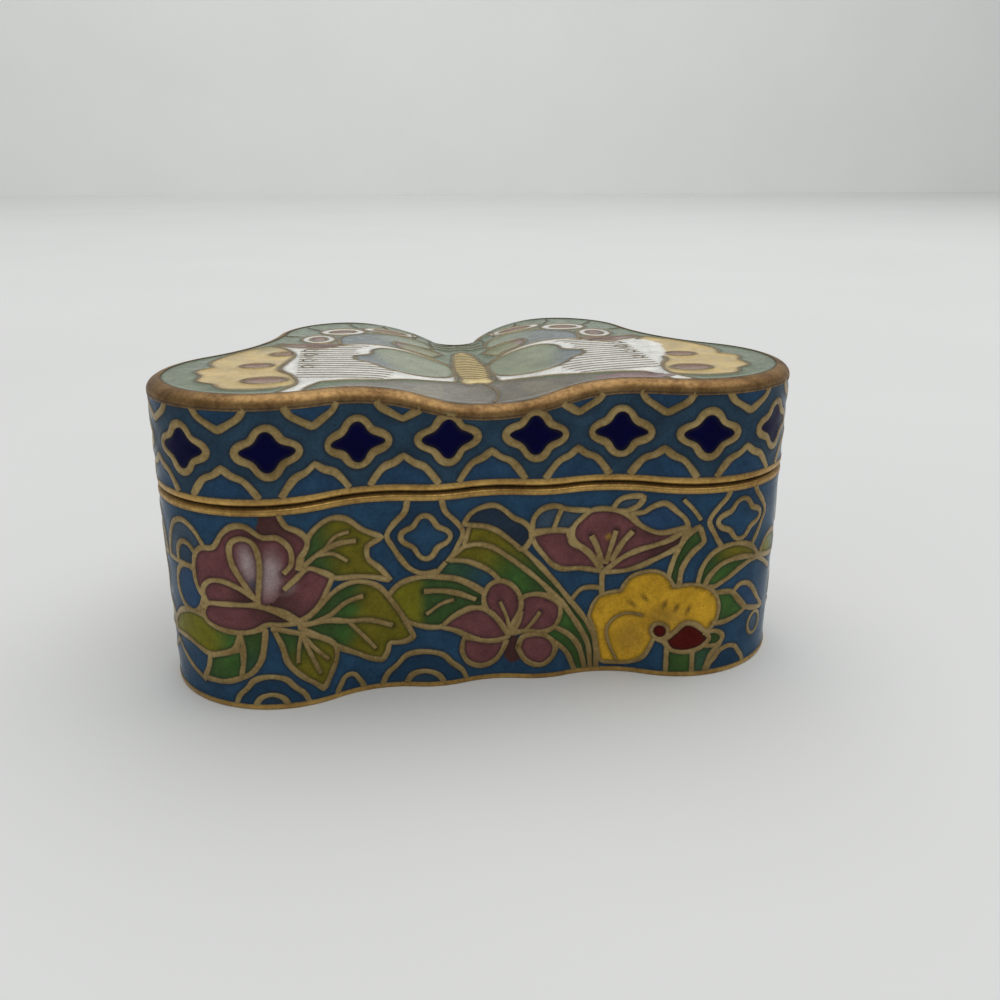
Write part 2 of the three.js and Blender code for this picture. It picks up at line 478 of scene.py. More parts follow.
def broad_leaf(work):
    """The broad leaf that points right and down, and the small round one behind its tip."""
    work.cell(outline_of(
        [(-11.4, 11.0), (-10.3, 12.3), (-8.6, 13.1), (-7.0, 13.35), (-5.5, 13.15), (-3.9, 12.7),
         (-2.1, 11.6), (-0.6, 10.4)],
        [(-0.6, 10.4), (-1.0, 9.0), (-2.5, 9.1), (-4.4, 8.4), (-5.7, 7.3)],
        [(-5.7, 7.3), (-7.1, 7.35), (-8.9, 7.8), (-10.4, 8.6)],
        [(-10.4, 8.6), (-11.4, 11.0)],
    ), YELLOW_GREEN, towards=DARK_GREEN, start=(-8.6, 10.0), end=(-7.0, 10.0))
    work.line([(-7.5, 11.6), (-5.7, 11.6), (-3.9, 11.1), (-1.8, 10.0)])
    work.line([(-7.3, 8.9), (-5.6, 10.1), (-4.3, 10.4)], FINE_WIRE)
    work.cell(outline_of(
        [(-21.0, 9.9), (-19.2, 11.0), (-17.6, 12.3), (-16.2, 13.0), (-14.8, 13.2), (-13.4, 12.9),
         (-12.1, 12.1), (-11.0, 10.5), (-10.0, 8.9), (-9.3, 7.5), (-8.7, 6.2)],
        [(-8.7, 6.2), (-9.7, 5.6), (-11.4, 5.5)],
        [(-11.4, 5.5), (-11.6, 4.5), (-12.2, 3.5)],
        [(-12.2, 3.5), (-13.5, 3.9), (-15.0, 4.8), (-16.9, 6.0), (-18.6, 7.5), (-21.0, 9.3)],
        [(-21.0, 9.3), (-21.0, 9.9)],
    ), DARK_GREEN, towards=OLIVE, start=(-16.4, 9.0), end=(-13.8, 8.4))
    work.wash((-15.7, 10.0), (2.0, 1.3), GREEN)
    work.wash((-16.3, 7.4), (2.2, 1.6), GREEN, tilt=-30)
    work.line([(-20.8, 9.6), (-18.0, 9.5), (-15.7, 8.8), (-13.5, 8.5), (-11.0, 7.6)])
    work.line([(-19.5, 9.7), (-17.6, 10.1), (-16.0, 11.0), (-14.0, 11.4)])
    work.line([(-15.7, 8.7), (-14.3, 6.9), (-12.9, 5.0)], FINE_WIRE)


def lower_leaves(work):
    """The leaves that hang under the peony."""
    work.line([(-37.4, 5.8), (-34.8, 3.8), (-32.1, 2.5)])
    work.cell(outline_of(
        [(-37.6, 8.0), (-35.8, 9.6), (-33.6, 10.4), (-31.0, 10.3)],
        [(-31.0, 10.3), (-28.6, 9.4), (-27.2, 8.9)],
        [(-27.2, 8.9), (-28.0, 7.1), (-29.5, 6.4), (-31.2, 5.9), (-33.0, 6.4), (-34.6, 6.8),
         (-37.6, 6.6)],
        [(-37.6, 6.6), (-37.6, 8.0)],
    ), YELLOW_GREEN, towards=GREEN, start=(-31.5, 8.2), end=(-28.0, 8.2))
    work.cell(outline_of(
        [(-31.2, 5.7), (-29.4, 6.3), (-27.2, 7.2)],
        [(-27.2, 7.2), (-27.2, 5.4), (-27.5, 3.7)],
        [(-27.5, 3.7), (-29.4, 3.0), (-32.4, 2.8)],
        [(-32.4, 2.8), (-31.6, 4.2), (-31.2, 5.7)],
    ), DARK_GREEN, towards=GREEN, start=(-30.5, 3.5), end=(-28.0, 6.0))
    work.cell(outline_of(
        [(-27.3, 8.9), (-27.0, 7.2), (-27.2, 5.4), (-27.6, 3.6)],
        [(-27.6, 3.6), (-26.2, 4.5), (-25.2, 6.0), (-24.8, 7.6), (-24.5, 9.6)],
        [(-24.5, 9.6), (-27.3, 8.9)],
    ), DARK_GREEN, towards=TEAL, start=(-26.0, 8.0), end=(-26.5, 4.5))
    work.cell(outline_of(
        [(-23.8, 9.6), (-23.0, 7.5), (-22.5, 5.4), (-21.2, 3.7), (-19.8, 2.5), (-18.9, 1.6)],
        [(-18.9, 1.6), (-18.1, 3.1), (-17.3, 4.8), (-17.3, 6.3), (-18.6, 7.6), (-20.8, 8.6)],
        [(-20.8, 8.6), (-23.8, 9.6)],
    ), DARK_GREEN, towards=OLIVE, start=(-21.8, 8.0), end=(-20.0, 5.0))
    work.line([(-21.0, 8.5), (-21.3, 7.0), (-21.5, 5.3)], FINE_WIRE)
    work.line([(-21.0, 8.6), (-20.2, 6.3), (-19.2, 3.6)], FINE_WIRE)
    work.line([(-20.8, 8.4), (-19.6, 6.6), (-18.2, 5.0)], FINE_WIRE)


def peony(work):
    """The full flower: a ring of mauve petals round a pale heart."""
    crest = [(-22.4, 22.0), (-21.7, 20.6), (-20.6, 20.0), (-19.7, 18.9), (-19.9, 17.9), (-20.6, 16.9),
             (-20.8, 15.8)]
    work.cell(outline_of(
        crest,
        [crest[-1], (-21.0, 14.6), (-23.4, 13.6)],
        [(-23.4, 13.6), (-23.2, 18.4), (-24.6, 20.2), (-24.0, 22.0), crest[0]],
    ), MAUVE, towards=DARK_MAUVE, start=(-21.0, 18.0), end=(-22.6, 20.4), wire=0)
    work.line(crest)
    work.cell(outline_of(
        [(-22.6, 13.6), (-21.3, 14.7), (-19.8, 15.8), (-18.5, 15.2), (-17.2, 14.3)],
        [(-17.2, 14.3), (-17.9, 13.0), (-18.6, 11.9), (-19.8, 10.7), (-21.4, 9.9)],
        [(-21.4, 9.9), (-23.0, 11.2), (-25.0, 12.3), (-22.6, 13.6)],
    ), MAUVE, towards=DARK_MAUVE, start=(-19.6, 13.6), end=(-22.6, 11.6))
    work.wash((-22.3, 14.3), (1.7, 1.5), PINK_WHITE, strength=0.8)
    work.line([(-24.2, 12.0), (-22.6, 11.3), (-20.9, 10.0)])
    petals = [(-30.8, 12.0), (-32.1, 13.8), (-32.0, 16.8), (-31.0, 18.0), (-29.4, 18.3), (-28.3, 19.8),
              (-27.2, 20.7), (-25.8, 20.8), (-24.1, 19.6), (-22.7, 19.5), (-21.5, 18.2), (-21.5, 16.4),
              (-22.3, 15.6)]
    closing = [petals[-1], (-21.9, 14.8), (-23.0, 13.0), (-24.6, 12.0)]
    work.cell(outline_of(petals, closing, [closing[-1], petals[0]]), MAUVE, wire=0)
    work.wash((-23.6, 15.4), (1.7, 3.9), PINK_WHITE, tilt=-8)
    work.wash((-25.0, 19.7), (3.6, 1.2), DARK_MAUVE, strength=0.8)
    work.wash((-22.9, 17.7), (0.9, 1.5), DARK_MAUVE, strength=0.4)
    work.line(petals)
    work.cell(outline_of(
        [(-25.1, 12.5), (-26.3, 14.5), (-27.5, 17.0), (-27.4, 18.9), (-26.3, 19.5), (-25.1, 19.0),
         (-24.6, 17.0), (-24.8, 14.6), (-25.1, 12.5)],
    ), MAUVE)
    work.wash((-25.8, 16.7), (1.35, 3.3), PINK_WHITE, tilt=8)
    work.wash((-25.4, 14.5), (0.6, 1.2), SLATE, tilt=12, strength=0.8)
    work.cell(outline_of(
        [(-25.0, 12.4), (-27.0, 12.1), (-28.9, 12.0), (-30.7, 11.8)],
        [(-30.7, 11.8), (-31.3, 13.2), (-30.4, 14.4), (-28.9, 14.7), (-27.0, 14.1), (-25.0, 12.7)],
        [(-25.0, 12.7), (-25.0, 12.4)],
    ), MAUVE, towards=DARK_MAUVE, start=(-29.5, 13.2), end=(-26.0, 12.6))
    work.cell(outline_of(
        [(-31.6, 10.7), (-30.9, 11.8), (-29.0, 12.1), (-27.0, 12.2), (-25.0, 12.1), (-23.4, 11.4),
         (-22.0, 10.5), (-21.0, 9.9)],
        [(-21.0, 9.9), (-23.0, 9.9), (-24.3, 10.0), (-25.6, 9.3), (-27.5, 9.0), (-29.6, 9.2),
         (-31.1, 9.8), (-31.6, 10.7)],
    ), MAUVE, towards=DARK_MAUVE, start=(-27.5, 10.5), end=(-23.2, 10.4))


def medallion(work, middle, height, half=(2.65, 2.45)):
    """A quatrefoil in a cusped frame that hangs from the seam."""
    left = [(-1.75, SEAM_LINE - height), (-2.1, 2.8), (-3.2, 1.6), (-4.05, 0.2), (-3.4, -1.2),
            (-2.7, -2.4), (-1.7, -3.6), (-0.3, -4.1)]
    right = [(-s, z) for s, z in reversed(left[:-1])]
    frame_line = [(middle + s, height + z) for s, z in left + right]
    work.cell(outline_of(frame_line, [frame_line[-1], frame_line[0]]), DEEP_BLUE)
    work.cell(quatrefoil((middle, height), half), GROUND_BLUE)


def grass(work):
    """The long blades that bend from the medallion down to the foot."""
    crest = [(-2.4, 18.7), (-0.7, 18.4), (0.6, 17.8), (2.1, 16.7), (3.9, 15.2), (5.4, 13.6),
             (7.1, 11.5), (8.5, 9.6), (9.8, 7.9), (10.9, 6.2), (11.8, 4.0), (12.1, FOOT_LINE)]
    second = [(-3.1, 16.4), (-1.6, 16.45), (0.0, 16.0), (1.6, 14.9), (3.6, 13.4), (5.2, 12.0),
              (6.4, 10.7), (7.7, 9.3), (8.9, 7.5), (10.0, 5.7), (11.0, 3.6), (11.4, FOOT_LINE)]
    third = [(-4.9, 15.1), (-3.2, 14.8), (-1.6, 14.1), (0.0, 13.0), (1.0, 11.8)]
    work.cell(outline_of(
        third,
        [third[-1], (-0.6, 10.6)],
        [(-0.6, 10.6), (-2.1, 11.8), (-3.9, 12.8), (-5.5, 13.25), (-6.4, 13.4)],
        [(-6.4, 13.4), third[0]],
    ), TEAL, towards=GROUND_BLUE, start=(-4.0, 14.0), end=(0.5, 11.5))
    work.cell(outline_of(
        third, [third[-1], (4.0, 9.0), (7.0, 6.4)], [(7.0, 6.4), (8.9, 7.5)],
        second[8::-1], [second[0], third[0]],
    ), OLIVE, towards=GREEN, start=(-1.5, 15.2), end=(2.5, 12.6))
    work.wash((5.0, 11.2), (2.6, 1.3), DARK_GREEN, tilt=-48)
    work.cell(outline_of(crest, [crest[-1], second[-1]], second[::-1], [second[0], crest[0]]),
              OLIVE, towards=DARK_GREEN, start=(0.8, 16.8), end=(5.2, 12.8))
    work.wash((10.6, 5.4), (2.2, 0.9), GREEN, tilt=-62)
    work.cell(outline_of(
        [(6.4, 10.7), (7.7, 9.3), (8.9, 7.5), (10.0, 5.7), (11.0, 3.6), (11.4, FOOT_LINE)],
        [(11.4, FOOT_LINE), (9.6, FOOT_LINE)],
        [(9.6, FOOT_LINE), (8.4, 3.0), (7.0, 4.4), (5.0, 5.8)],
        [(5.0, 5.8), (6.4, 10.7)],
    ), DARK_GREEN, towards=GREEN, start=(9.8, 2.6), end=(7.6, 6.8))
    work.line([(7.0, 6.3), (8.7, 5.1), (9.9, 3.5), (10.8, FOOT_LINE)])


def clouds(work):
    """The clouds between the blades and the lily, under the seam."""
    work.cell(outline_of(
        [(-3.1, 18.9), (-2.3, 20.0), (-1.0, 20.6), (0.4, 20.7), (1.4, 20.1), (2.3, 19.3), (3.4, 18.8),
         (4.1, 18.1), (4.4, 17.2)],
        [(4.4, 17.2), (3.6, 15.9), (3.2, 15.6)],
        [(3.2, 15.6), (2.0, 16.7), (0.6, 17.8), (-0.7, 18.4), (-3.1, 18.9)],
    ), CLOUD_BLUE)
    work.cell(outline_of(
        [(4.3, 17.8), (4.5, 19.3), (5.4, 20.3), (6.8, 20.55), (8.0, 20.1), (9.4, 19.8), (10.9, 19.6)],
        [(10.9, 19.6), (10.0, 18.8), (9.0, 18.0), (8.4, 17.6)],
        [(8.4, 17.6), (6.4, 17.8), (4.3, 17.8)],
    ), SLATE)
    work.line([(7.5, 20.2), (7.0, 19.0), (6.6, 17.8)])
    work.cell(outline_of(
        [(13.1, 19.5), (14.0, 20.8), (15.2, 21.2), (16.6, 21.3)],
        [(16.6, 21.3), (16.0, 20.2), (14.8, 19.5)],
        [(14.8, 19.5), (13.1, 19.5)],
    ), SLATE)
    work.cell(outline_of(
        [(15.3, 19.2), (16.6, 19.5), (17.5, 20.2), (18.8, 20.7), (20.0, 19.9), (21.1, 18.9),
         (21.4, 18.0)],
        [(21.4, 18.0), (20.0, 17.5), (18.4, 17.3), (17.0, 17.6), (15.9, 18.3), (15.3, 19.2)],
    ), CLEAR_BLUE)
    work.line([(9.0, 9.4), (9.9, 10.4), (11.1, 10.6), (12.4, 10.4)])
    work.line([(20.7, 21.2), (21.8, 20.1), (22.7, 18.9)], FINE_WIRE)


def lily(work):
    """The open three-petalled flower seen from the side."""
    work.line([(12.4, 12.6), (12.35, 11.4), (12.4, 9.6)])
    work.cell(outline_of(
        [(4.2, 17.4), (4.7, 16.2), (5.6, 15.0), (6.5, 13.9), (7.8, 13.2), (9.8, 13.0), (12.3, 12.4)],
        [(12.3, 12.4), (11.3, 14.0), (9.9, 15.4), (8.7, 16.1), (8.3, 17.6)],
        [(8.3, 17.6), (6.5, 17.8), (4.2, 17.4)],
    ), MAUVE)
    work.cell(outline_of(
        [(12.5, 12.3), (14.7, 12.5), (16.5, 13.2), (17.9, 14.1), (19.3, 15.0), (20.7, 15.9)],
        [(20.7, 15.9), (21.5, 18.2)],
        [(21.5, 18.2), (19.7, 16.7), (17.9, 15.8), (16.1, 15.0), (14.3, 13.9), (12.5, 12.3)],
    ), MAUVE, towards=DARK_MAUVE, start=(14.5, 13.2), end=(19.0, 15.6))
    work.cell(outline_of(
        [(12.5, 12.3), (11.4, 14.1), (10.4, 15.2), (9.3, 16.0), (8.8, 16.9), (9.0, 18.0),
         (9.95, 18.9), (10.9, 19.6), (12.2, 19.75), (13.8, 19.5), (14.95, 19.0), (15.9, 18.2),
         (17.0, 17.6), (18.4, 17.3), (20.0, 17.7), (21.5, 18.3)],
        [(21.5, 18.3), (19.7, 16.7), (17.9, 15.8), (16.1, 15.0), (14.3, 13.9), (12.5, 12.3)],
    ), MAUVE)
    work.wash((16.8, 16.9), (3.4, 0.9), DARK_MAUVE, tilt=12, strength=0.6)
    work.wash((13.0, 16.5), (0.7, 0.6), OCHRE)
    work.line([(11.0, 16.7), (11.7, 15.3), (12.3, 13.3)])
    work.line([(13.7, 17.2), (13.3, 15.6), (12.7, 13.3)])
    work.line([(15.5, 17.2), (14.5, 15.9), (13.3, 13.6)])


def blossom(work):
    """The five-petalled flower low in the middle."""
    work.cell(outline_of(
        [(1.6, 5.2), (1.3, 3.4), (1.8, 2.1), (2.9, 2.2), (3.2, 4.4)],
        [(3.2, 4.4), (2.4, 5.6), (1.6, 5.2)],
    ), DARK_MAUVE, wire=0)
    work.cell(outline_of(
        [(-3.2, 5.6), (-3.45, 4.1), (-2.7, 2.5), (-1.2, 1.8), (0.3, 2.3), (1.2, 3.6), (1.8, 5.4)],
        [(1.8, 5.4), (-0.6, 5.0), (-3.2, 5.6)],
    ), MAUVE)
    work.cell(outline_of(
        [(2.2, 5.6), (2.5, 8.0), (3.0, 9.7), (4.0, 10.35), (5.3, 10.4), (6.5, 9.9), (7.5, 8.9),
         (7.6, 7.7), (6.9, 6.3), (5.4, 5.8), (3.8, 6.0), (2.2, 5.6)],
    ), MAUVE)
    work.cell(outline_of(
        [(1.9, 5.4), (0.2, 7.6), (-0.7, 8.9), (-0.9, 10.2), (-0.3, 11.5), (0.8, 12.0), (2.0, 11.6),
         (3.0, 10.4), (3.2, 8.9), (2.4, 6.9), (1.9, 5.4)],
    ), MAUVE)
    work.cell(outline_of(
        [(-5.8, 7.3), (-4.4, 8.3), (-2.5, 9.0), (-1.0, 8.8), (0.2, 7.9), (1.2, 6.5), (1.9, 5.2)],
        [(1.9, 5.2), (0.6, 4.8), (-1.0, 4.9), (-2.5, 5.6), (-4.2, 6.7), (-5.8, 7.3)],
    ), MAUVE)
    work.cell(outline_of(
        [(2.9, 3.8), (3.3, 5.1), (4.5, 5.6), (6.0, 5.3), (7.1, 4.0), (6.7, 2.5), (5.4, 1.7), (3.8, 2.3),
         (2.9, 3.8)],
    ), MAUVE)
    for tip, root in [((0.1, 8.2), (2.0, 5.4)), ((0.9, 9.5), (2.1, 5.6)), ((3.3, 8.4), (2.4, 5.7)),
                      ((5.3, 8.3), (3.6, 6.0))]:
        work.line([tip, ((tip[0] + root[0]) / 2 + 0.15, (tip[1] + root[1]) / 2), root], FINE_WIRE)


def reeds(work):
    """The two leaves that rise behind the pansy."""
    work.cell(outline_of(
        [(19.5, 11.2), (19.8, 13.3), (20.5, 15.6), (21.4, 17.2), (22.6, 18.2)],
        [(22.6, 18.2), (23.3, 16.4)],
        [(23.3, 16.4), (21.9, 15.0), (21.0, 13.2), (20.8, 11.2)],
        [(20.8, 11.2), (19.5, 11.2)],
    ), DARK_GREEN)
    work.cell(outline_of(
        [(22.8, 11.2), (23.2, 13.2), (24.1, 14.7), (25.4, 15.5), (27.1, 15.7), (28.9, 15.3),
         (30.3, 14.4), (31.2, 13.2)],
        [(31.2, 13.2), (28.9, 13.8), (27.1, 13.9), (25.5, 13.5), (24.2, 12.3), (23.6, 11.0)],
        [(23.6, 11.0), (22.8, 11.2)],
    ), DARK_GREEN, towards=OLIVE, start=(24.2, 13.4), end=(27.0, 14.9))
    work.cell(outline_of(
        [(23.6, 11.0), (24.2, 12.3), (25.5, 13.5), (27.1, 13.9), (28.9, 13.8), (31.2, 13.2)],
        [(31.2, 13.2), (29.4, 13.1), (28.0, 12.6), (26.6, 11.8), (24.8, 10.9)],
        [(24.8, 10.9), (23.6, 11.0)],
    ), GREEN, towards=DARK_GREEN, start=(25.0, 12.0), end=(28.5, 13.4))
    work.line([(31.0, 13.3), (32.5, 12.4), (34.6, 11.0)])
    work.cell(outline_of(
        [(31.2, 13.4), (32.8, 15.2), (34.8, 15.4), (36.4, 14.2), (37.2, 12.4)],
        [(37.2, 12.4), (34.6, 12.6), (31.2, 13.4)],
    ), YELLOW_GREEN, towards=TEAL, start=(32.5, 14.0), end=(36.0, 13.4))


def pansy(work):
    """The yellow flower with a dark red heart, and the small leaves round it."""
    work.cell(outline_of(
        [(24.8, 10.2), (27.2, 9.9), (28.0, 8.9), (28.9, 8.0), (29.6, 7.4)],
        [(29.6, 7.4), (28.2, 6.8), (26.4, 6.4), (24.8, 6.4)],
        [(24.8, 6.4), (24.8, 10.2)],
    ), GREEN, towards=DARK_GREEN, start=(26.8, 8.8), end=(25.6, 6.8))
    work.cell(outline_of(
        [(19.9, 3.6), (19.95, FOOT_LINE)], [(19.95, FOOT_LINE), (22.9, FOOT_LINE)],
        [(22.9, FOOT_LINE), (22.8, 3.6)], [(22.8, 3.6), (19.9, 3.6)],
    ), DARK_GREEN, towards=GREEN, start=(20.5, 1.5), end=(22.0, 3.0))
    work.cell(outline_of(
        [(22.8, 3.6), (22.9, FOOT_LINE)], [(22.9, FOOT_LINE), (24.3, FOOT_LINE)],
        [(24.3, FOOT_LINE), (25.1, 2.6), (26.3, 3.8)], [(26.3, 3.8), (24.6, 4.2), (22.8, 3.6)],
    ), TEAL)
    work.cell(outline_of(
        [(11.0, 7.1), (11.5, 8.6), (12.2, 9.5), (13.4, 9.9), (14.5, 10.1)],
        [(14.5, 10.1), (14.9, 11.0), (15.6, 11.9), (16.8, 12.5), (18.4, 12.8), (19.6, 12.2),
         (20.3, 11.1)],
        [(20.3, 11.1), (22.1, 11.4), (23.7, 11.1), (25.0, 10.1), (25.6, 8.6), (25.5, 7.1),
         (24.9, 6.0)],
        [(24.9, 6.0), (21.0, 4.0), (18.4, 4.6)],
        [(18.4, 4.6), (18.0, 3.4), (17.2, 2.0), (15.6, 1.2), (14.2, 1.1)],
        [(14.2, 1.1), (12.6, 1.3), (12.2, 2.4), (11.8, 4.8), (11.0, 7.1)],
    ), YELLOW, wire=FINE_WIRE)
    work.wash((15.9, 4.4), (2.7, 3.4), OCHRE)
    work.wash((19.6, 7.3), (4.0, 2.0), OCHRE)
    work.line([(14.4, 1.3), (13.4, 3.6), (13.1, 5.3), (13.9, 6.7), (15.3, 7.4), (17.0, 7.3)], 0.3)
    for tip, root in [((15.2, 9.0), (16.4, 8.1)), ((16.7, 9.9), (17.7, 8.9)), ((19.6, 9.6), (19.2, 8.2)),
                      ((21.0, 9.2), (20.4, 7.9)), ((22.3, 9.0), (21.7, 7.6))]:
        middle = ((tip[0] + root[0]) / 2, (tip[1] + root[1]) / 2)
        lean = math.degrees(math.atan2(tip[1] - root[1], tip[0] - root[0]))
        work.wash(middle, (1.05, 0.42), BROWN, tilt=lean, strength=1.0)
    work.cell(outline_of(
        [(24.2, 5.4), (25.6, 5.4), (26.5, 4.5), (25.8, 3.7), (24.2, 3.7)],
        [(24.2, 3.7), (24.2, 5.4)],
    ), DARK_GREEN)
    work.cell(outline_of(
        [(19.5, 4.5), (20.7, 5.6), (21.8, 6.7), (22.9, 6.5), (24.0, 5.6), (24.8, 4.6)],
        [(24.8, 4.6), (23.8, 3.6), (22.1, 3.1), (20.3, 3.4), (19.5, 4.5)],
    ), DARK_RED)
    work.cell(oval((19.0, 5.6), (0.95, 0.95)), DARK_RED, wire=FINE_WIRE)


def right_end(work):
    """What fills the right end of the front."""
    work.cell(outline_of(
        [(27.4, 9.8), (28.2, 10.6), (29.6, 10.4), (30.7, 9.5), (31.7, 8.2), (33.4, 6.4)],
        [(33.4, 6.4), (31.4, 6.8), (29.7, 7.4)],
        [(29.7, 7.4), (28.6, 8.6), (27.4, 9.8)],
    ), CLEAR_BLUE)
    work.cell(oval((31.6, 4.9), (1.25, 1.35)), SLATE, wire=FINE_WIRE)


def front_of_base(work):
    work.at(0)
    for middle, half, height, core in [(-24.5, 4.0, 3.95, True), (-7.6, 4.8, 4.4, True),
                                       (-15.9, 1.6, 2.5, False), (27.3, 2.7, 3.2, False)]:
        foot_cloud(work, middle, half, height, core)
    cloud_scroll(work)
    medallion(work, -7.2, 17.8)
    medallion(work, 27.7, 18.5, (3.05, 2.35))
    upper_leaf(work)
    grass(work)
    broad_leaf(work)
    clouds(work)
    lower_leaves(work)
    peony(work)
    lily(work)
    blossom(work)
    right_end(work)
    reeds(work)
    pansy(work)


SIDE_OFFSET = 74.5


def back_of_base(work):
    """Plainer than the front: its motifs turned round, with more ground between them."""
    half_way = AROUND / 2
    work.at(half_way, -1)
    for middle, half, height in [(-24.5, 4.0, 3.9), (-7.6, 4.8, 4.4), (19.0, 3.6, 3.6),
                                 (30.0, 3.4, 3.4)]:
        foot_cloud(work, middle, half, height)
    medallion(work, -7.2, 17.8)
    medallion(work, 25.0, 17.8)
    upper_leaf(work)
    grass(work)
    broad_leaf(work)
    lower_leaves(work)
    peony(work)
    lily(work)
    blossom(work)
    for turned in (1, -1):
        work.at(SIDE_OFFSET * turned, turned)
        foot_cloud(work, -24.5, 4.0, 3.9)
        cloud_scroll(work)
        upper_leaf(work)
        lower_leaves(work)
        peony(work)


wall_work = Enamelling(GROUND_BLUE, WALL_WIRE, AROUND)
back_of_base(wall_work)
front_of_base(wall_work)

# ---------------------------------------------------------------- the lid's band of quatrefoils

BAND_COUNT = 22
BAND_STEP = AROUND / BAND_COUNT
BAND_MIDDLE = 28.35
BAND_WIRE = 0.78
ARCH_BLUE = (42, 70, 97)


def lid_band(work):
    """Navy quatrefoils, with arches that stand on the mouth rim and hang from the top rim between."""
    for k in range(BAND_COUNT):
        middle = (k - BAND_COUNT // 2) * BAND_STEP
        low = [(-3.7, 23.4), (-2.9, 24.6), (-2.0, 25.6), (-1.0, 26.0), (0.0, 26.75)]
        high = [(-2.9, 33.2), (-2.2, 31.9), (-1.2, 31.25), (0.0, 30.55)]
        for side in (low, high):
            left = [(middle + s, z) for s, z in side]
            right = [(2 * middle - s, z) for s, z in reversed(left)]
            work.cell(outline_of(left, right, [right[-1], left[0]]), ARCH_BLUE)
    for k in range(BAND_COUNT):
        middle = (k - BAND_COUNT // 2 + 0.5) * BAND_STEP
        work.cell(quatrefoil((middle, BAND_MIDDLE), (3.17, 2.5)), NAVY)


band_work = Enamelling(STEEL_BLUE, BAND_WIRE, AROUND)
lid_band(band_work)

# ---------------------------------------------------------------- the butterfly on the lid's top

DECK_WIRE = 0.34
HAIR_WIRE = 0.14
RIB_WIRE = 0.1
BORDER_GREEN = (86, 102, 68)
FIELD_BLUE = (86, 97, 98)
HEAD_GREY = (104, 96, 80)
WHITE = (232, 230, 222)
WING_GREEN = (124, 133, 100)
TIP_YELLOW = (198, 168, 92)
RUST = (124, 80, 52)
PETAL_GREY = (116, 108, 88)
LEAF_GREY = (96, 94, 76)
ROSE_BROWN = (118, 82, 78)
BODY_YELLOW = (214, 190, 122)


def both(work, kind, *line_and_more, **options):
    """Draws the same cell or line on the right wing and, mirrored, on the left one."""
    for flip in (1, -1):
        getattr(work.at(0, flip), kind)(*line_and_more, **options)
    work.at(0)


def eyespot(work, centre, half, pupil, tilt):
    both(work, "cell", oval(centre, half, tilt), WHITE)
    both(work, "cell", oval(centre, pupil, tilt), ROSE_BROWN)


def hind_wings(work):
    both(work, "cell", outline_of(
        [(3.2, 8.6), (4.6, 12.2), (8.2, 14.0), (12.4, 12.6), (14.9, 9.4), (15.0, 4.7)],
        [(15.0, 4.7), (11.0, 4.9), (8.0, 4.6)],
        [(8.0, 4.6), (5.6, 6.8), (3.2, 8.6)],
    ), FIELD_BLUE, towards=WING_GREEN, start=(12, 8), end=(4, 12))
    eyespot(work, (8.4, 15.8), (3.7, 1.5), (2.2, 0.75), 10)
    eyespot(work, (14.6, 13.6), (3.0, 2.2), (1.75, 0.95), -20)
    eyespot(work, (17.6, 8.2), (2.1, 2.8), (1.05, 1.55), 4)
    both(work, "cell", outline_of(
        [(22.4, 5.6), (19.6, 5.0), (16.2, 5.2), (14.2, 4.7)],
        [(14.2, 4.7), (14.0, 3.2), (15.8, 2.2), (19.0, 2.6), (21.4, 3.9), (22.4, 5.6)],
    ), ROSE_BROWN)
    both(work, "cell", outline_of(
        [(2.5, 5.4), (4.0, 7.7), (5.8, 8.9), (8.1, 9.4)],
        [(8.1, 9.4), (8.4, 7.5), (7.4, 5.6), (5.6, 4.6)],
        [(5.6, 4.6), (4.0, 3.2), (2.5, 5.4)],
    ), (116, 118, 66), towards=ROSE_BROWN, start=(6.3, 7.2), end=(8.0, 7.8))
    for root, tip in [((3.3, 9.6), (3.0, 14.2)), ((12.6, 16.6), (13.6, 20.6)),
                      ((17.6, 14.6), (19.6, 18.4)), ((20.0, 10.2), (22.6, 11.6)),
                      ((5.2, 13.8), (5.0, 17.4)), ((8.6, 17.6), (8.9, 20.6))]:
        middle = ((root[0] + tip[0]) / 2 + 0.4, (root[1] + tip[1]) / 2)
        both(work, "line", [root, middle, tip], HAIR_WIRE)
    for y in (8.2, 9.6, 11.0):
        both(work, "line", [(0.0, y + 0.7), (1.3, y), (2.9, y + 0.6)], HAIR_WIRE)


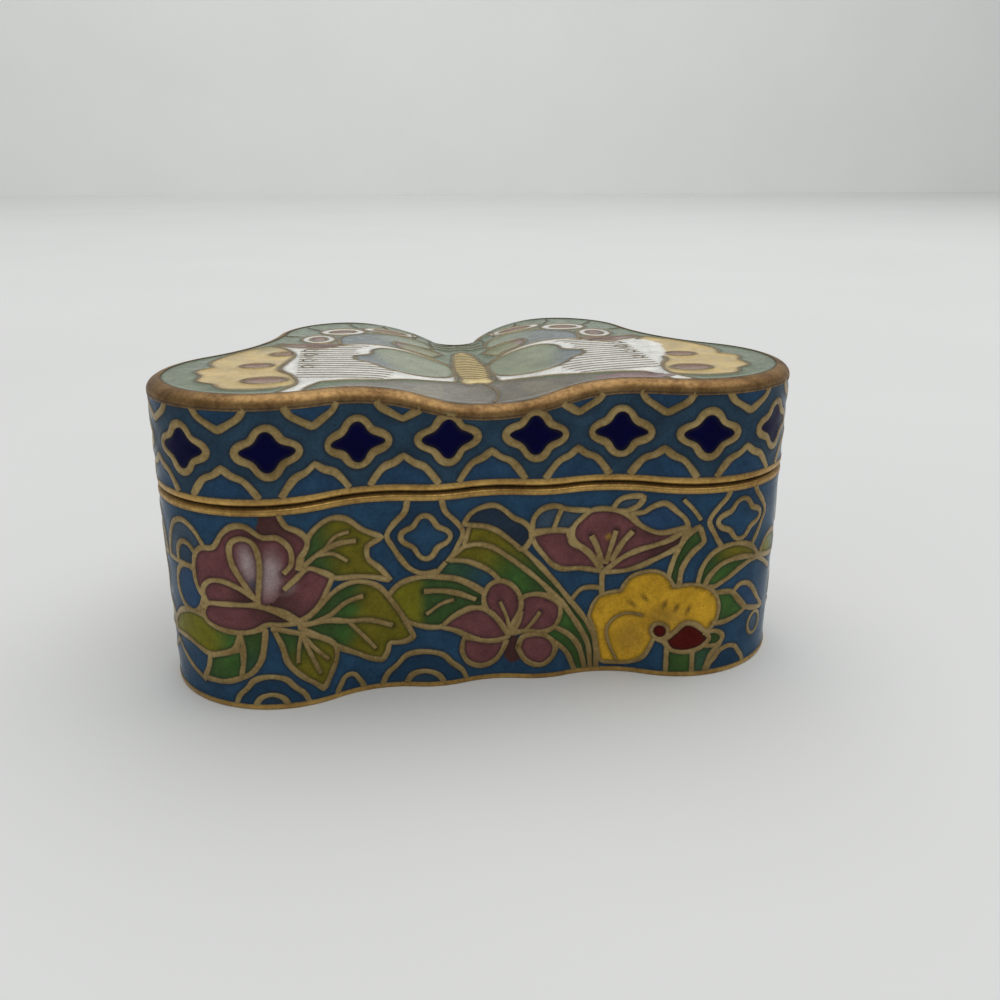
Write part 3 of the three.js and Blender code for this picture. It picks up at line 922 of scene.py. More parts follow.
def fore_wings(work):
    both(work, "cell", outline_of(
        [(23.2, 4.4), (26.0, 1.4), (28.3, -2.2), (29.2, -5.2), (28.6, -7.4)],
        [(28.6, -7.4), (30.2, -9.2), (29.4, -11.6)],
        [(29.4, -11.6), (29.5, -14.2), (27.7, -15.8)],
        [(27.7, -15.8), (26.6, -18.0), (24.2, -18.6)],
        [(24.2, -18.6), (22.0, -18.4), (19.6, -17.0), (20.0, -13.0), (21.6, -9.6), (21.0, -6.0),
         (20.2, -2.0), (21.4, 2.2), (23.2, 4.4)],
    ), TIP_YELLOW)
    for sign in (1, -1):
        work.at(0, sign)
        work.wash((23.4, 3.0), (2.6, 2.8), (140, 132, 60), strength=0.9)
    both(work, "cell", oval((21.5, -0.9), (1.5, 1.1)), RUST)
    both(work, "cell", oval((24.0, -7.2), (1.75, 1.3)), RUST)
    both(work, "cell", oval((22.7, -14.7), (2.3, 1.6)), RUST)
    both(work, "cell", outline_of(
        [(2.5, -0.2), (4.9, 3.0), (8.0, 5.0), (11.2, 5.5), (14.2, 4.5), (16.8, 2.2), (19.6, 2.6),
         (22.9, 4.6)],
        [(22.9, 4.6), (21.0, 1.6), (20.1, -2.0), (20.8, -6.0), (21.3, -9.4), (19.9, -13.0),
         (19.5, -17.0), (21.2, -20.4)],
        [(21.2, -20.4), (19.2, -20.6), (18.3, -18.2), (17.0, -15.9)],
        [(17.0, -15.9), (14.0, -14.9), (11.0, -14.3), (8.0, -12.2), (5.0, -10.3), (2.4, -8.9)],
        [(2.4, -8.9), (2.2, -5.0), (2.5, -0.2)],
    ), WHITE)
    for row in range(16):
        y = 4.0 - row * 1.17
        near = 11.6 + 1.6 * math.sin(0.55 * row) if y > -6 else 8.0 - 0.35 * (y + 6)
        far = 19.0 if y > 1.5 else 19.6
        both(work, "line", [(near, y), ((near + far) / 2, y - 0.35), (far, y - 0.15)], RIB_WIRE)
    for y in (1.2, -1.6, -4.6, -8.0):
        curl = [(17.6, y), (18.7, y + 0.5), (19.2, y - 0.4), (18.5, y - 1.1), (18.0, y - 0.6)]
        both(work, "line", curl, HAIR_WIRE)
    both(work, "cell", outline_of(
        [(2.3, -0.9), (3.8, 1.2), (6.8, 3.4), (9.7, 3.7), (11.2, 1.8), (11.5, -0.6), (13.4, -2.2)],
        [(13.4, -2.2), (13.3, -4.3), (11.5, -6.0), (9.9, -8.2), (7.4, -9.2), (4.9, -8.4),
         (2.9, -6.8), (2.1, -4.0), (2.3, -0.9)],
    ), WING_GREEN, towards=FIELD_BLUE, start=(8.6, -2.6), end=(11.6, -3.4))
    work.cell(outline_of(
        [(19.8, 3.2), (22.6, 2.2), (23.6, -0.6), (23.0, -3.6), (22.6, -6.4), (21.1, -9.4)],
        [(21.1, -9.4), (20.6, -6.0), (19.9, -2.0), (19.8, 3.2)],
    ), WHITE, wire=0)
    work.cell(oval((-14.5, -19.5), (4.0, 1.5), 10), ROSE_BROWN, wire=0)
    work.cell(oval((15.5, -17.5), (4.2, 1.5), -14), ROSE_BROWN, wire=0)


def head_ground(work):
    """The grey ground in front of the head, with its long petals."""
    both(work, "cell", outline_of(
        [(0.0, -9.4), (3.0, -9.6), (8.0, -13.2), (12.0, -15.6), (15.0, -17.2)],
        [(15.0, -17.2), (12.0, -19.6), (6.0, -19.8), (0.0, -19.2)],
        [(0.0, -19.2), (0.0, -9.4)],
    ), HEAD_GREY, wire=0)
    both(work, "cell", outline_of(
        [(4.2, -10.8), (6.6, -13.4), (7.8, -16.4), (8.0, -19.2)],
        [(8.0, -19.2), (5.6, -18.4), (4.3, -15.0), (4.2, -10.8)],
    ), PETAL_GREY, wire=0)
    both(work, "cell", outline_of(
        [(8.6, -14.0), (11.0, -15.8), (12.8, -18.2)],
        [(12.8, -18.2), (10.4, -17.8), (8.6, -14.0)],
    ), LEAF_GREY, wire=0)
    work.line([(0.5, -9.2), (1.3, -11.6), (1.5, -14.6), (0.6, -17.4)])


def body(work):
    half = [(0.0, 7.2), (0.8, 6.5), (1.3, 4.2), (1.7, 1.0), (1.95, -2.0), (1.85, -5.0), (1.6, -7.2),
            (1.95, -8.6), (1.0, -9.5), (0.0, -9.0)]
    work.cell(outline_of(half, [(-x, y) for x, y in reversed(half)]), BODY_YELLOW)
    for rib in range(15):
        y = 5.9 - 0.9 * rib
        reach = 1.9 - 0.16 * max(0.0, y + 1) ** 1.05
        work.line([(-reach, y), (0.0, y - 0.12), (reach, y)], RIB_WIRE)


deck_work = Enamelling(BORDER_GREEN, DECK_WIRE)
head_ground(deck_work)
hind_wings(deck_work)
fore_wings(deck_work)
body(deck_work)

# ---------------------------------------------------------------- modelling

COLUMNS = 808
RIM_COLUMNS = 540
GRID = 0.25


def straight(start, end, count):
    return np.linspace(start, end, count)


def start_piece():
    """Leaves nothing selected, so that the next operators act on the new piece alone."""
    if bpy.context.object and bpy.context.object.mode != "OBJECT":
        bpy.ops.object.mode_set(mode="OBJECT")
    bpy.ops.object.select_all(action="DESELECT")


def named(name):
    piece = bpy.context.object
    piece.name = name
    piece.data.name = name
    return piece


def place(piece, points):
    """Puts a piece's vertices at points given in millimetres."""
    piece.data.vertices.foreach_set("co", (points.reshape(-1, 3) * MM).ravel())
    piece.data.update()


def face_out():
    bpy.ops.object.mode_set(mode="EDIT")
    bpy.ops.mesh.select_all(action="SELECT")
    bpy.ops.mesh.normals_make_consistent(inside=False)
    bpy.ops.object.mode_set(mode="OBJECT")


def softened(piece, angle=50):
    bpy.ops.object.shade_smooth_by_angle(angle=math.radians(angle))
    return piece


def ring(name, section, columns, closed=True):
    """A band round the outline, still open where it starts. section(s) lists its (inset, z)."""
    s = straight(-AROUND / 2, AROUND / 2, columns + 1)
    lines = section(s)
    if closed:
        lines = [*lines, lines[0]]
    start_piece()
    bpy.ops.mesh.primitive_grid_add(x_subdivisions=columns, y_subdivisions=len(lines) - 1, size=0.04)
    piece = named(name)
    place(piece, np.stack([on_wall(s, z, -np.broadcast_to(inset, s.shape)) for inset, z in lines]))
    return piece, s


def close_ring(capped=False):
    """Joins a band where it starts and ends, and may cap its open edges."""
    bpy.ops.object.mode_set(mode="EDIT")
    bpy.ops.mesh.select_all(action="SELECT")
    bpy.ops.mesh.remove_doubles(threshold=0.001 * MM)
    if capped:
        bpy.ops.mesh.select_all(action="DESELECT")
        bpy.ops.mesh.select_non_manifold()
        bpy.ops.mesh.fill_holes(sides=0)
    bpy.ops.object.mode_set(mode="OBJECT")
    face_out()


def waver(s, size, seed):
    """The slight unevenness of hand work, the same after one turn round the box."""
    draw = np.random.default_rng(seed)
    total = np.zeros_like(s)
    for turns in (3, 7, 11, 17, 26, 41):
        swing = draw.normal()
        phase = draw.uniform(0, math.tau)
        total += swing * np.sin(math.tau * turns * s / AROUND + phase) / turns**0.4
    return total * size / 2


def rounded(corners, radius, steps=3):
    """A section's corners, each turned into a short arc."""
    points = []
    count = len(corners)
    for i, corner in enumerate(np.array(corners, float)):
        before = np.array(corners[i - 1], float) - corner
        after = np.array(corners[(i + 1) % count], float) - corner
        reach = min(radius, 0.45 * np.linalg.norm(before), 0.45 * np.linalg.norm(after))
        start = corner + before / np.linalg.norm(before) * reach
        end = corner + after / np.linalg.norm(after) * reach
        for k in range(steps + 1):
            t = k / steps
            points.append((1 - t) ** 2 * start + 2 * t * (1 - t) * corner + t**2 * end)
    return points


def nearest_wires(work, ends):
    """A tree of points along a surface's wires and ends, to find how far from them a place is."""
    spots = []
    for line, width in work.wires() + [(line, 0.0) for line in ends]:
        for point in respaced(line, GRID):
            spots.append((point, width / 2))
    tree = kdtree.KDTree(len(spots))
    for i, (point, _half) in enumerate(spots):
        tree.insert(wrapped(work, point), i)
    tree.balance()
    return tree, np.array([half for _point, half in spots])


def wrapped(work, point):
    """A flat point as one in space, rolled up where the surface goes round the box."""
    if not work.period:
        return (point[0], point[1], 0)
    radius = work.period / math.tau
    angle = point[0] / radius
    return (radius * math.cos(angle), radius * math.sin(angle), point[1])


DISH = 0.05
DISH_REACH = 0.55
# Reach of the painted shade and dirt beside a wire or a rim's edge.
SHADE_AND_DIRT_REACH = 0.42


def glazed(work, flat, ends):
    """For each flat point: its colour, its painted shade and dirt beside wires and rim edges, and how far
    the glaze sinks.
    """
    tree, halves = nearest_wires(work, ends)
    away = np.empty(len(flat))
    for i, point in enumerate(flat):
        _place, index, distance = tree.find(wrapped(work, point))
        away[i] = distance - halves[index]
    # Painted shade together with dirt: the glaze is darkened within a short reach of each wire and rim
    # edge.
    shade_and_dirt = np.clip(1 - away / SHADE_AND_DIRT_REACH, 0, 1) ** 1.5
    sink = DISH * (1 - np.exp(-((np.clip(away, 0, None) / DISH_REACH) ** 2)))
    return work.colours(flat), shade_and_dirt, sink


def paint(piece, colour, shade_and_dirt):
    glaze = piece.data.attributes.new("glaze", "FLOAT_COLOR", "POINT")
    opaque = np.hstack([colour, np.ones((len(colour), 1))])
    glaze.data.foreach_set("color", opaque.astype(np.float32).ravel())
    shaded_edge = piece.data.attributes.new("wire_shade_and_dirt", "FLOAT", "POINT")
    shaded_edge.data.foreach_set("value", shade_and_dirt.astype(np.float32))


WIRE_SECTION = [(-1, -0.12), (-1, 0.0), (-0.62, 0.7), (0, 1.0), (0.62, 0.7), (1, 0.0), (1, -0.12)]
WIRE_PROUD = 0.06
DECK_WIRE_PROUD = 0.045
# How much each point of the wire section is darkened: painted shade with dirt at the edges beside the
# glaze, none on the crown.
WIRE_SHADE_AND_GRIME = [0.8, 0.45, 0.0, 0.0, 0.0, 0.45, 0.8]
# Hair wires are darkened all across by this much.
HAIR_DARKENING = 0.6


def shade_and_grime_on(piece, amount):
    mark = piece.data.attributes.new("grime", "FLOAT", "POINT")
    mark.data.foreach_set("value", np.asarray(amount, np.float32).ravel())


def wire_piece(name, work, lay, within, proud=WIRE_PROUD):
    """The wires of one surface: low domed strips, let into the glaze."""
    points = []
    faces = []
    shade_and_dirt_marks = []
    sides = len(WIRE_SECTION)
    for k, (line, width) in enumerate(work.wires()):
        line = respaced(line, FINE_STEP)
        for stretch in runs_of(within(line)):
            if len(stretch) < FEWEST_POINTS:
                continue
            run = respaced(line[stretch])
            way = np.gradient(run, axis=0)
            way /= np.linalg.norm(way, axis=1)[:, None]
            across = np.stack([-way[:, 1], way[:, 0]], axis=1)
            swell = 1 + 0.09 * np.sin(run[:, 0] * 1.7 + k) + 0.05 * np.sin(run[:, 1] * 3.1 + 2 * k)
            half = (width / 2 * swell)[:, None]
            first = len(points) * sides
            rows = np.stack([
                lay(*(run + across * half * aside).T, proud * height if height >= 0 else height)
                for aside, height in WIRE_SECTION
            ], axis=1)
            # Each wire is painted darker at its edges, as shade together with dirt; hair wires are darker
            # all across.
            shade_and_dirt_marks += [np.maximum(WIRE_SHADE_AND_GRIME, HAIR_DARKENING if width <= HAIR_WIRE else 0)] * len(run)
            for i in range(len(run)):
                points.append(rows[i])
                if i == 0:
                    continue
                low = first + (i - 1) * sides
                high = low + sides
                for j in range(sides):
                    n = (j + 1) % sides
                    faces.append((low + j, high + j, high + n, low + n))
            last = first + (len(run) - 1) * sides
            faces.append(tuple(range(first, first + sides)))
            faces.append(tuple(range(last + sides - 1, last - 1, -1)))
    mesh = bpy.data.meshes.new(name)
    mesh.from_pydata((np.concatenate(points) * MM).tolist(), [], faces)
    piece = bpy.data.objects.new(name, mesh)
    bpy.context.scene.collection.objects.link(piece)
    start_piece()
    bpy.context.view_layer.objects.active = piece
    piece.select_set(True)
    face_out()
    shade_and_grime_on(piece, np.concatenate(shade_and_dirt_marks))
    return softened(piece)


# ---------------------------------------------------------------- node groups and materials


def new_group(name, inputs, outputs):
    """A shader node group with named inputs and outputs."""
    tree = bpy.data.node_groups.new(name, "ShaderNodeTree")
    for label, kind, value in inputs:
        socket = tree.interface.new_socket(name=label, in_out="INPUT", socket_type=kind)
        socket.default_value = value
    for label, kind in outputs:
        tree.interface.new_socket(name=label, in_out="OUTPUT", socket_type=kind)
    return tree, tree.nodes.new("NodeGroupInput").outputs, tree.nodes.new("NodeGroupOutput").inputs


def add(tree, kind, links=(), **values):
    """A node with its inputs set or linked, and its own settings."""
    node = tree.nodes.new(kind)
    for key, value in values.items():
        setattr(node, key, value)
    for socket, value in dict(links).items():
        if isinstance(value, bpy.types.NodeSocket):
            tree.links.new(value, node.inputs[socket])
        else:
            node.inputs[socket].default_value = value
    return node


def noise(tree, where, scale, detail=3.0, rough=0.5):
    links = {"Vector": where, "Scale": scale, "Detail": detail, "Roughness": rough}
    return add(tree, "ShaderNodeTexNoise", links).outputs["Fac"]


def ramp(tree, value, low, high, to_low=0.0, to_high=1.0):
    links = {"Value": value, "From Min": low, "From Max": high, "To Min": to_low, "To Max": to_high}
    return add(tree, "ShaderNodeMapRange", links).outputs["Result"]


def maths(tree, operation, first, second=0.0):
    return add(tree, "ShaderNodeMath", {0: first, 1: second}, operation=operation).outputs[0]


def blended(tree, share, first, second, how="MIX"):
    node = add(tree, "ShaderNodeMix", data_type="RGBA", blend_type=how)
    for socket, value in (("Factor", share), ("A", first), ("B", second)):
        kind = "VALUE" if socket == "Factor" else "RGBA"
        target = next(s for s in node.inputs if s.name == socket and s.type == kind)
        if isinstance(value, bpy.types.NodeSocket):
            tree.links.new(value, target)
        else:
            target.default_value = value if socket == "Factor" else (*value, 1.0)
    return [s for s in node.outputs if s.type == "RGBA"][0]


def object_place(tree):
    return tree.nodes.new("ShaderNodeTexCoord").outputs["Object"]


def attribute(tree, name, output="Fac"):
    return add(tree, "ShaderNodeAttribute", attribute_name=name).outputs[output]


def fired_glaze_group():
    """How fired glaze varies: clouding, grain, small pits, and the dark edge beside wires and rims, which
    is painted shade together with dirt.
    """
    tree, given, result = new_group(
        "fired glaze",
        [("Colour", "NodeSocketColor", (0.5, 0.5, 0.5, 1)), ("Wire Shade And Dirt", "NodeSocketFloat", 0.0),
         ("Pits", "NodeSocketFloat", 1.0)],
        [("Colour", "NodeSocketColor"), ("Roughness", "NodeSocketFloat"), ("Height", "NodeSocketFloat")],
    )
    where = object_place(tree)
    cloud = noise(tree, where, 420.0, 3.0, 0.6)
    grain = noise(tree, where, 3600.0, 2.0, 0.6)
    lighter = maths(tree, "MULTIPLY", ramp(tree, cloud, 0.3, 0.7, 0.78, 1.2),
                    ramp(tree, grain, 0.3, 0.7, 0.86, 1.14))
    varied = add(tree, "ShaderNodeVectorMath", {0: given["Colour"], "Scale": lighter}, operation="SCALE")
    cells = add(tree, "ShaderNodeTexVoronoi", {"Vector": where, "Scale": 900.0, "Randomness": 1.0})
    chance = add(tree, "ShaderNodeSeparateColor", {0: cells.outputs["Color"]}).outputs[0]
    some = ramp(tree, chance, 0.72, 0.75)
    dot = ramp(tree, cells.outputs["Distance"], 0.05, 0.11, 1.0, 0.0)
    pit = maths(tree, "MULTIPLY", maths(tree, "MULTIPLY", dot, some), given["Pits"])
    dark = blended(tree, maths(tree, "MULTIPLY", pit, 0.65), varied.outputs[0], (0.012, 0.010, 0.008))
    # The dark edge beside wires and rims: painted shade together with dirt.
    shaded_edge = maths(tree, "MULTIPLY", given["Wire Shade And Dirt"], ramp(tree, cloud, 0.25, 0.75, 0.45, 0.85))
    tree.links.new(blended(tree, shaded_edge, dark, (0.02, 0.018, 0.012)), result["Colour"])
    wear = maths(tree, "ADD", ramp(tree, noise(tree, where, 900.0, 4.0, 0.7), 0.3, 0.75, 0.12, 0.3),
                 maths(tree, "MULTIPLY", given["Wire Shade And Dirt"], 0.2))
    tree.links.new(wear, result["Roughness"])
    height = maths(tree, "SUBTRACT", maths(tree, "MULTIPLY", cloud, 0.5), pit)
    tree.links.new(height, result["Height"])
    return tree


def old_gilt_group():
    """How gilding wears: bright where it is rubbed, brown where dirt has stayed. It is also painted dark in
    grooves and along edges, as shade together with dirt.
    """
    tree, given, result = new_group(
        "old gilt",
        [("Bright", "NodeSocketColor", (0.6, 0.4, 0.15, 1)),
         ("Dull", "NodeSocketColor", (0.2, 0.1, 0.04, 1)),
         ("Wear", "NodeSocketFloat", 0.5), ("Matt", "NodeSocketFloat", 0.0),
         ("Grime", "NodeSocketFloat", 0.0)],
        [("Colour", "NodeSocketColor"), ("Roughness", "NodeSocketFloat"),
         ("Metallic", "NodeSocketFloat"), ("Height", "NodeSocketFloat")],
    )
    where = object_place(tree)
    patches = noise(tree, where, 260.0, 4.0, 0.65)
    specks = noise(tree, where, 2300.0, 3.0, 0.7)
    dull = ramp(tree, maths(tree, "ADD", maths(tree, "MULTIPLY", patches, 0.65),
                            maths(tree, "MULTIPLY", specks, 0.35)), 0.38, 0.62)
    dull = maths(tree, "MULTIPLY", dull, given["Wear"])
    metal = blended(tree, dull, given["Bright"], given["Dull"])
    # Painted shade together with dirt, from the piece's attribute: darker, rougher and less metallic.
    grime = maths(tree, "MULTIPLY", given["Grime"], ramp(tree, specks, 0.3, 0.7, 0.75, 1.0))
    tree.links.new(blended(tree, grime, metal, (0.03, 0.022, 0.014)), result["Colour"])
    polish = ramp(tree, specks, 0.3, 0.7, 0.26, 0.42)
    rough = maths(tree, "ADD", polish, maths(tree, "MULTIPLY", grime, 0.3))
    tree.links.new(maths(tree, "ADD", rough, given["Matt"]), result["Roughness"])
    tree.links.new(maths(tree, "SUBTRACT", 1.0, maths(tree, "MULTIPLY", grime, 0.8)), result["Metallic"])
    tree.links.new(specks, result["Height"])
    return tree


FIRED_GLAZE = fired_glaze_group()
OLD_GILT = old_gilt_group()


def new_material(name):
    material = bpy.data.materials.new(name)
    material.use_nodes = True
    tree = material.node_tree
    surface = next(node for node in tree.nodes if node.type == "BSDF_PRINCIPLED")
    return material, tree, surface


def use_group(tree, group, links):
    node = tree.nodes.new("ShaderNodeGroup")
    node.node_tree = group
    for socket, value in links.items():
        if isinstance(value, bpy.types.NodeSocket):
            tree.links.new(value, node.inputs[socket])
        else:
            node.inputs[socket].default_value = value
    return node.outputs


def raised(tree, surface, height, strength, distance):
    links = {"Height": height, "Strength": strength, "Distance": distance}
    tree.links.new(add(tree, "ShaderNodeBump", links).outputs[0], surface.inputs["Normal"])


def enamel_material(name, pits=1.0, gloss=0.42):
    material, tree, surface = new_material(name)
    look = use_group(tree, FIRED_GLAZE, {
        "Colour": attribute(tree, "glaze", "Color"), "Wire Shade And Dirt": attribute(tree, "wire_shade_and_dirt"),
        "Pits": pits})
    tree.links.new(look["Colour"], surface.inputs["Base Color"])
    tree.links.new(look["Roughness"], surface.inputs["Roughness"])
    surface.inputs["Specular IOR Level"].default_value = gloss
    raised(tree, surface, look["Height"], 0.25, 0.00008)
    return material


def gilt_material(name, bright, dull, wear, matt=0.0):
    material, tree, surface = new_material(name)
    look = use_group(tree, OLD_GILT, {
        "Bright": (*linear(bright), 1), "Dull": (*linear(dull), 1), "Wear": wear, "Matt": matt,
        "Grime": attribute(tree, "grime")})
    tree.links.new(look["Colour"], surface.inputs["Base Color"])
    tree.links.new(look["Roughness"], surface.inputs["Roughness"])
    tree.links.new(look["Metallic"], surface.inputs["Metallic"])
    raised(tree, surface, look["Height"], 0.3, 0.00006)
    return material


WALL_ENAMEL = enamel_material("wall enamel", gloss=0.045)
DECK_ENAMEL = enamel_material("deck enamel", gloss=0.5)
WIRE_GILT = gilt_material("wire gilt", (162, 140, 96), (110, 90, 53), 0.8)
RIM_GILT = gilt_material("rim gilt", (206, 168, 96), (142, 106, 58), 0.85)
TOP_GILT = gilt_material("top rim gilt", (158, 126, 82), (100, 72, 44), 0.9, matt=0.14)

# ---------------------------------------------------------------- enamel shells

COUNTER_ENAMEL = (70, 150, 160)
EDGE_RISE = 0.07
EDGE_DROP = 0.02
WALL_ROWS = 86
BAND_ROWS = 37


def make_base_enamel():
    wall_rows = straight(FOOT_TOP + EDGE_RISE, BASE_TOP, WALL_ROWS)
    rows = [(2.2, FOOT_TOP), (0.3, FOOT_TOP)]
    first = len(rows)
    rows += [(0.0, z) for z in wall_rows]
    rows += [(WALL, BASE_TOP)] + [(WALL, z) for z in (19.0, 14.0, 9.0, 5.0, 2.75)]
    floor = FOOT_TOP + WALL
    rows += [(WALL + 0.08, floor + 0.25), (WALL + 0.3, floor + 0.06), (2.3, floor)]
    piece, s = ring("base_enamel", lambda s: rows, COLUMNS, closed=False)
    flat = np.stack(np.broadcast_arrays(s[None, :], wall_rows[:, None]), axis=-1)
    # The glaze along these ends, under the foot and mouth rims, is painted darker: shade together with
    # dirt.
    ends = [np.stack([s, np.full_like(s, z)], axis=1) for z in (FOOT_TOP + EDGE_RISE, BASE_TOP - EDGE_DROP)]
    glaze_rows(piece, wall_work, flat, len(rows), first, ends)
    close_ring(capped=True)
    piece.data.materials.append(WALL_ENAMEL)
    finish_enamel(piece, "base_body")


def glaze_rows(piece, work, flat, row_count, first, ends):
    """Gives a band its glaze, and dishes the glaze of its outer rows between the wires."""
    outer, columns = flat.shape[:2]
    colour, shade_and_dirt, sink = glazed(work, flat.reshape(-1, 2), ends)
    every = np.tile(linear(COUNTER_ENAMEL), (row_count, columns, 1))
    every[first : first + outer] = colour.reshape(outer, columns, 3)
    shade_and_dirt_marks = np.zeros((row_count, columns))
    shade_and_dirt_marks[first : first + outer] = shade_and_dirt.reshape(outer, columns)
    paint(piece, every.reshape(-1, 3), shade_and_dirt_marks.ravel())
    points = np.empty(columns * row_count * 3)
    piece.data.vertices.foreach_get("co", points)
    points = points.reshape(row_count, columns, 3) / MM
    points[first : first + outer] = on_wall(flat[..., 0], flat[..., 1], -sink.reshape(outer, columns))
    place(piece, points)


def finish_enamel(piece, node):
    softened(piece)
    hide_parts(node)
    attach(piece, "root")


DECK_COLUMNS = 220
DECK_ROWS = 130
DECK_EDGE = 1.25
WIDEST_Y = FORE_WING[1]


def make_deck():
    """The lid's top: a slab with the butterfly on it, whose edge is let in under the top rim."""
    s = straight(-AROUND / 2, AROUND / 2, 4000)
    x, y = outline.at(s, DECK_EDGE)
    reach = x.max() - 0.1
    columns = straight(-reach, reach, DECK_COLUMNS)
    side = y > WIDEST_Y
    front = np.interp(columns, *sorted_by_x(x[~side], y[~side]))
    back = np.interp(columns, *sorted_by_x(x[side], y[side]))
    share = straight(0, 1, DECK_ROWS)
    gx = np.broadcast_to(columns[None, :], (DECK_ROWS, DECK_COLUMNS))
    gy = front[None, :] + (back - front)[None, :] * share[:, None]
    flat = np.stack([gx, gy], axis=-1).reshape(-1, 2)
    # The deck's glaze along the top rim's edge is painted darker: shade together with dirt.
    rim = np.stack(outline.at(s, TOP_RIM_WIDTH), axis=1)
    colour, shade_and_dirt, sink = glazed(deck_work, flat, [rim])
    start_piece()
    bpy.ops.mesh.primitive_grid_add(
        x_subdivisions=DECK_COLUMNS - 1, y_subdivisions=DECK_ROWS - 1, size=0.04)
    piece = named("deck")
    place(piece, on_deck(flat[:, 0], flat[:, 1], -sink))
    paint(piece, colour, shade_and_dirt)
    bpy.ops.object.mode_set(mode="EDIT")
    bpy.ops.mesh.select_all(action="SELECT")
    bpy.ops.mesh.extrude_region_move(TRANSFORM_OT_translate={"value": (0, 0, -DECK_THICKNESS * MM)})
    bpy.ops.object.mode_set(mode="OBJECT")
    return piece


def sorted_by_x(x, y):
    order = np.argsort(x)
    return x[order], y[order]


def make_lid_enamel():
    rise = top_height_round(straight(-AROUND / 2, AROUND / 2, COLUMNS + 1)) - TOP_RIM_HEIGHT + 0.05
    shares = straight(0, 1, BAND_ROWS)
    heights = SKIRT_FOOT + (rise - SKIRT_FOOT) * shares[:, None]
    rows = [(WALL, heights[0])] + [(0.0, z) for z in heights]
    rows += [(WALL, SKIRT_FOOT + (rise - SKIRT_FOOT) * share) for share in (1.0, 0.6, 0.2)]
    piece, s = ring("lid_enamel", lambda s: rows, COLUMNS)
    flat = np.stack([np.broadcast_to(s, heights.shape), heights], axis=-1)
    # The band's glaze along these ends, at both rims, is painted darker: shade together with dirt.
    ends = [np.stack([s, heights[0]], axis=1), np.stack([s, heights[-1] - 0.05], axis=1)]
    glaze_rows(piece, band_work, flat, len(rows) + 1, 1, ends)
    close_ring()
    piece.data.materials.append(WALL_ENAMEL)
    deck = make_deck()
    deck.data.materials.append(DECK_ENAMEL)
    start_piece()
    piece.select_set(True)
    deck.select_set(True)
    bpy.context.view_layer.objects.active = piece
    bpy.ops.object.join()
    face_out()
    finish_enamel(piece, "lid_body")


make_base_enamel()
make_lid_enamel()

# ---------------------------------------------------------------- wires


def on_base(line):
    return (line[:, 1] > FOOT_TOP - 0.05) & (line[:, 1] < BASE_TOP + 0.1)


def on_band(line):
    under_top_rim = top_height_round(line[:, 0]) - TOP_RIM_HEIGHT + 0.1
    return (line[:, 1] > SKIRT_FOOT - 0.05) & (line[:, 1] < under_top_rim)


def on_top(line):
    s = straight(-AROUND / 2, AROUND / 2, 1200)
    return inside(line, np.stack(outline.at(s, TOP_RIM_WIDTH - 0.15), axis=1))


for name, work, lay, within, proud in [("base_wires", wall_work, on_wall, on_base, WIRE_PROUD),
                                       ("lid_band_wires", band_work, on_wall, on_band, WIRE_PROUD),
                                       ("deck_wires", deck_work, on_deck, on_top, DECK_WIRE_PROUD)]:
    wires = wire_piece(name, work, lay, within, proud)
    wires.data.materials.append(WIRE_GILT)
    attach(wires, "root")

# ---------------------------------------------------------------- rims


def make_rim(name, section, material, on_top=False, seed=1, size=0.035, grime=()):
    """A gilt ring in place of the solid one. Its section gives (inset, z), and a waver of the hand
    moves it inwards only. The last argument gives (inset, z) spots, with their reach, painted
    dark as shade in grooves and along edges, together with dirt."""

    def rows(s):
        lift = top_height_round(s) if on_top else 0.0
        sway = size + waver(s, size, seed)
        sway = np.clip(sway, 0, None)
        return [(inset + sway, z + lift) for inset, z in section]

    piece, s = ring(name, rows, RIM_COLUMNS)
    spots = np.zeros((len(section) + 1, RIM_COLUMNS + 1))
    for j, (inset, z) in enumerate([*section, section[0]]):
        for inset_at, z_at, reach in grime:
            away = math.hypot(inset - inset_at, z - z_at)
            spots[j] = np.maximum(spots[j], max(0.0, 1 - away / reach))
    shade_and_grime_on(piece, spots)
    close_ring()
    softened(piece)
    piece.data.materials.append(material)
    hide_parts(name.replace("gilt", "rim"))
    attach(piece, "root")
    return piece


# Each rim's listed spots are painted dark: shade in the seam's groove and where a rim meets the glaze,
# together with dirt.
make_rim(
    "base_foot_gilt",
    rounded([(-RIM_PROUD, 0.0), (-RIM_PROUD, FOOT_TOP + 0.1), (0.25, FOOT_TOP + 0.1),
             (WALL, FOOT_TOP), (WALL, 0.0)], 0.22),
    RIM_GILT, seed=3, grime=[(-0.05, 0.65, 0.2)])
make_rim(
    "base_mouth_gilt",
    rounded([(-RIM_PROUD, BASE_TOP - 0.05), (-RIM_PROUD, SEAM - 0.34), (0.5, SEAM), (1.9, SEAM),
             (1.9, SEAM + 1.4), (2.5, SEAM + 1.4), (2.5, BASE_TOP), (0.2, BASE_TOP - 0.05)], 0.16),
    RIM_GILT, seed=4, grime=[(0.5, SEAM, 0.7), (-0.05, BASE_TOP - 0.05, 0.2)])
make_rim(
    "lid_mouth_gilt",
    rounded([(0.5, SEAM), (-RIM_PROUD, SEAM + 0.3), (-RIM_PROUD, SKIRT_FOOT + 0.04),
             (0.2, SKIRT_FOOT + 0.04), (WALL, SKIRT_FOOT), (WALL, SEAM)], 0.16),
    RIM_GILT, seed=5, grime=[(0.5, SEAM, 0.65), (-0.05, SKIRT_FOOT + 0.04, 0.2)])
LIP = 0.22
shoulder = [
    ((TOP_RIM_WIDTH + RIM_PROUD) * (1 - math.cos(a)) - RIM_PROUD, TOP_RIM_HEIGHT * (math.sin(a) - 1))
    for a in straight(0, math.pi / 2, 11)
]
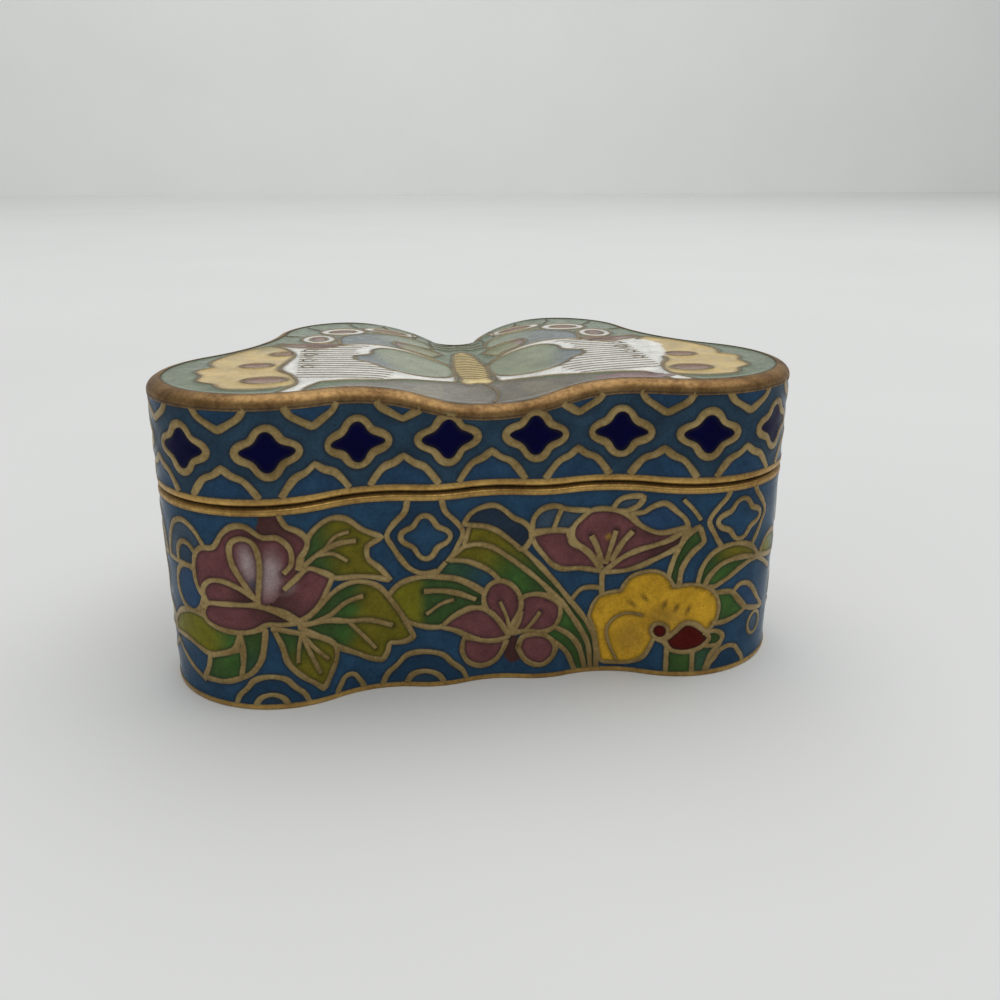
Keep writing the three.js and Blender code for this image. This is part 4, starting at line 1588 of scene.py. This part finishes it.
make_rim(
    "lid_top_gilt",
    [(-RIM_PROUD, -TOP_RIM_HEIGHT - LIP)] + shoulder
    + [(TOP_RIM_WIDTH, -0.12), (TOP_RIM_WIDTH, -TOP_RIM_HEIGHT), (0.15, -TOP_RIM_HEIGHT - LIP)],
    TOP_GILT, on_top=True, seed=6, size=0.022,
    grime=[(-0.1, -TOP_RIM_HEIGHT, 0.2), (TOP_RIM_WIDTH, 0.0, 0.15)])

# ---------------------------------------------------------------- floor and light

WALL_DISTANCE = 1400
WALL_HEIGHT = 420
SIDES = (-2500, 2500)
TABLE_FRONT = -1500
ROOM_STRENGTH = 0.38
WINDOW_PLACE = (200, 220, 1300)
WINDOW_SIZE = (2.0, 1.6)
WINDOW_POWER = 16.5


def plain_surface(name, shade, other_shade):
    material, tree, surface = new_material(name)
    where = object_place(tree)
    cloud = ramp(tree, noise(tree, where, 9.0, 2.0), 0.3, 0.7)
    tree.links.new(blended(tree, cloud, shade, other_shade), surface.inputs["Base Color"])
    surface.inputs["Roughness"].default_value = 0.7
    surface.inputs["Specular IOR Level"].default_value = 0.1
    return material


def make_surroundings():
    """The pale table, and a low pale wall far behind it."""
    start_piece()
    bpy.ops.mesh.primitive_plane_add(size=1)
    table = named("table")
    place(table, np.array([(x, y, 0) for y in (TABLE_FRONT, WALL_DISTANCE) for x in SIDES], float))
    table.data.materials.append(plain_surface("table", (0.73, 0.735, 0.725), (0.75, 0.755, 0.745)))
    start_piece()
    bpy.ops.mesh.primitive_plane_add(size=1)
    wall = named("wall")
    place(wall, np.array([(x, WALL_DISTANCE, z) for z in (0, WALL_HEIGHT) for x in SIDES], float))
    wall.data.materials.append(plain_surface("wall", (0.91, 0.915, 0.905), (0.93, 0.935, 0.925)))


def soft_light(name, place_mm, size, power, aim=(0, 0, 0)):
    data = bpy.data.lights.new(name, "AREA")
    data.shape = "RECTANGLE"
    data.size, data.size_y = size
    data.energy = power
    light = bpy.data.objects.new(name, data)
    place_at = Vector(place_mm) * MM
    light.location = place_at
    light.rotation_euler = (Vector(aim) * MM - place_at).to_track_quat("-Z", "Y").to_euler()
    bpy.context.scene.collection.objects.link(light)
    return light


def make_world(strength):
    world = bpy.data.worlds.new("room")
    world.use_nodes = True
    background = next(node for node in world.node_tree.nodes if node.type == "BACKGROUND")
    background.inputs["Color"].default_value = (0.98, 1.0, 1.0, 1)
    background.inputs["Strength"].default_value = strength
    bpy.context.scene.world = world


make_surroundings()
make_world(ROOM_STRENGTH)
soft_light("window light", WINDOW_PLACE, WINDOW_SIZE, WINDOW_POWER)
bpy.context.scene.view_settings.view_transform = "Standard"
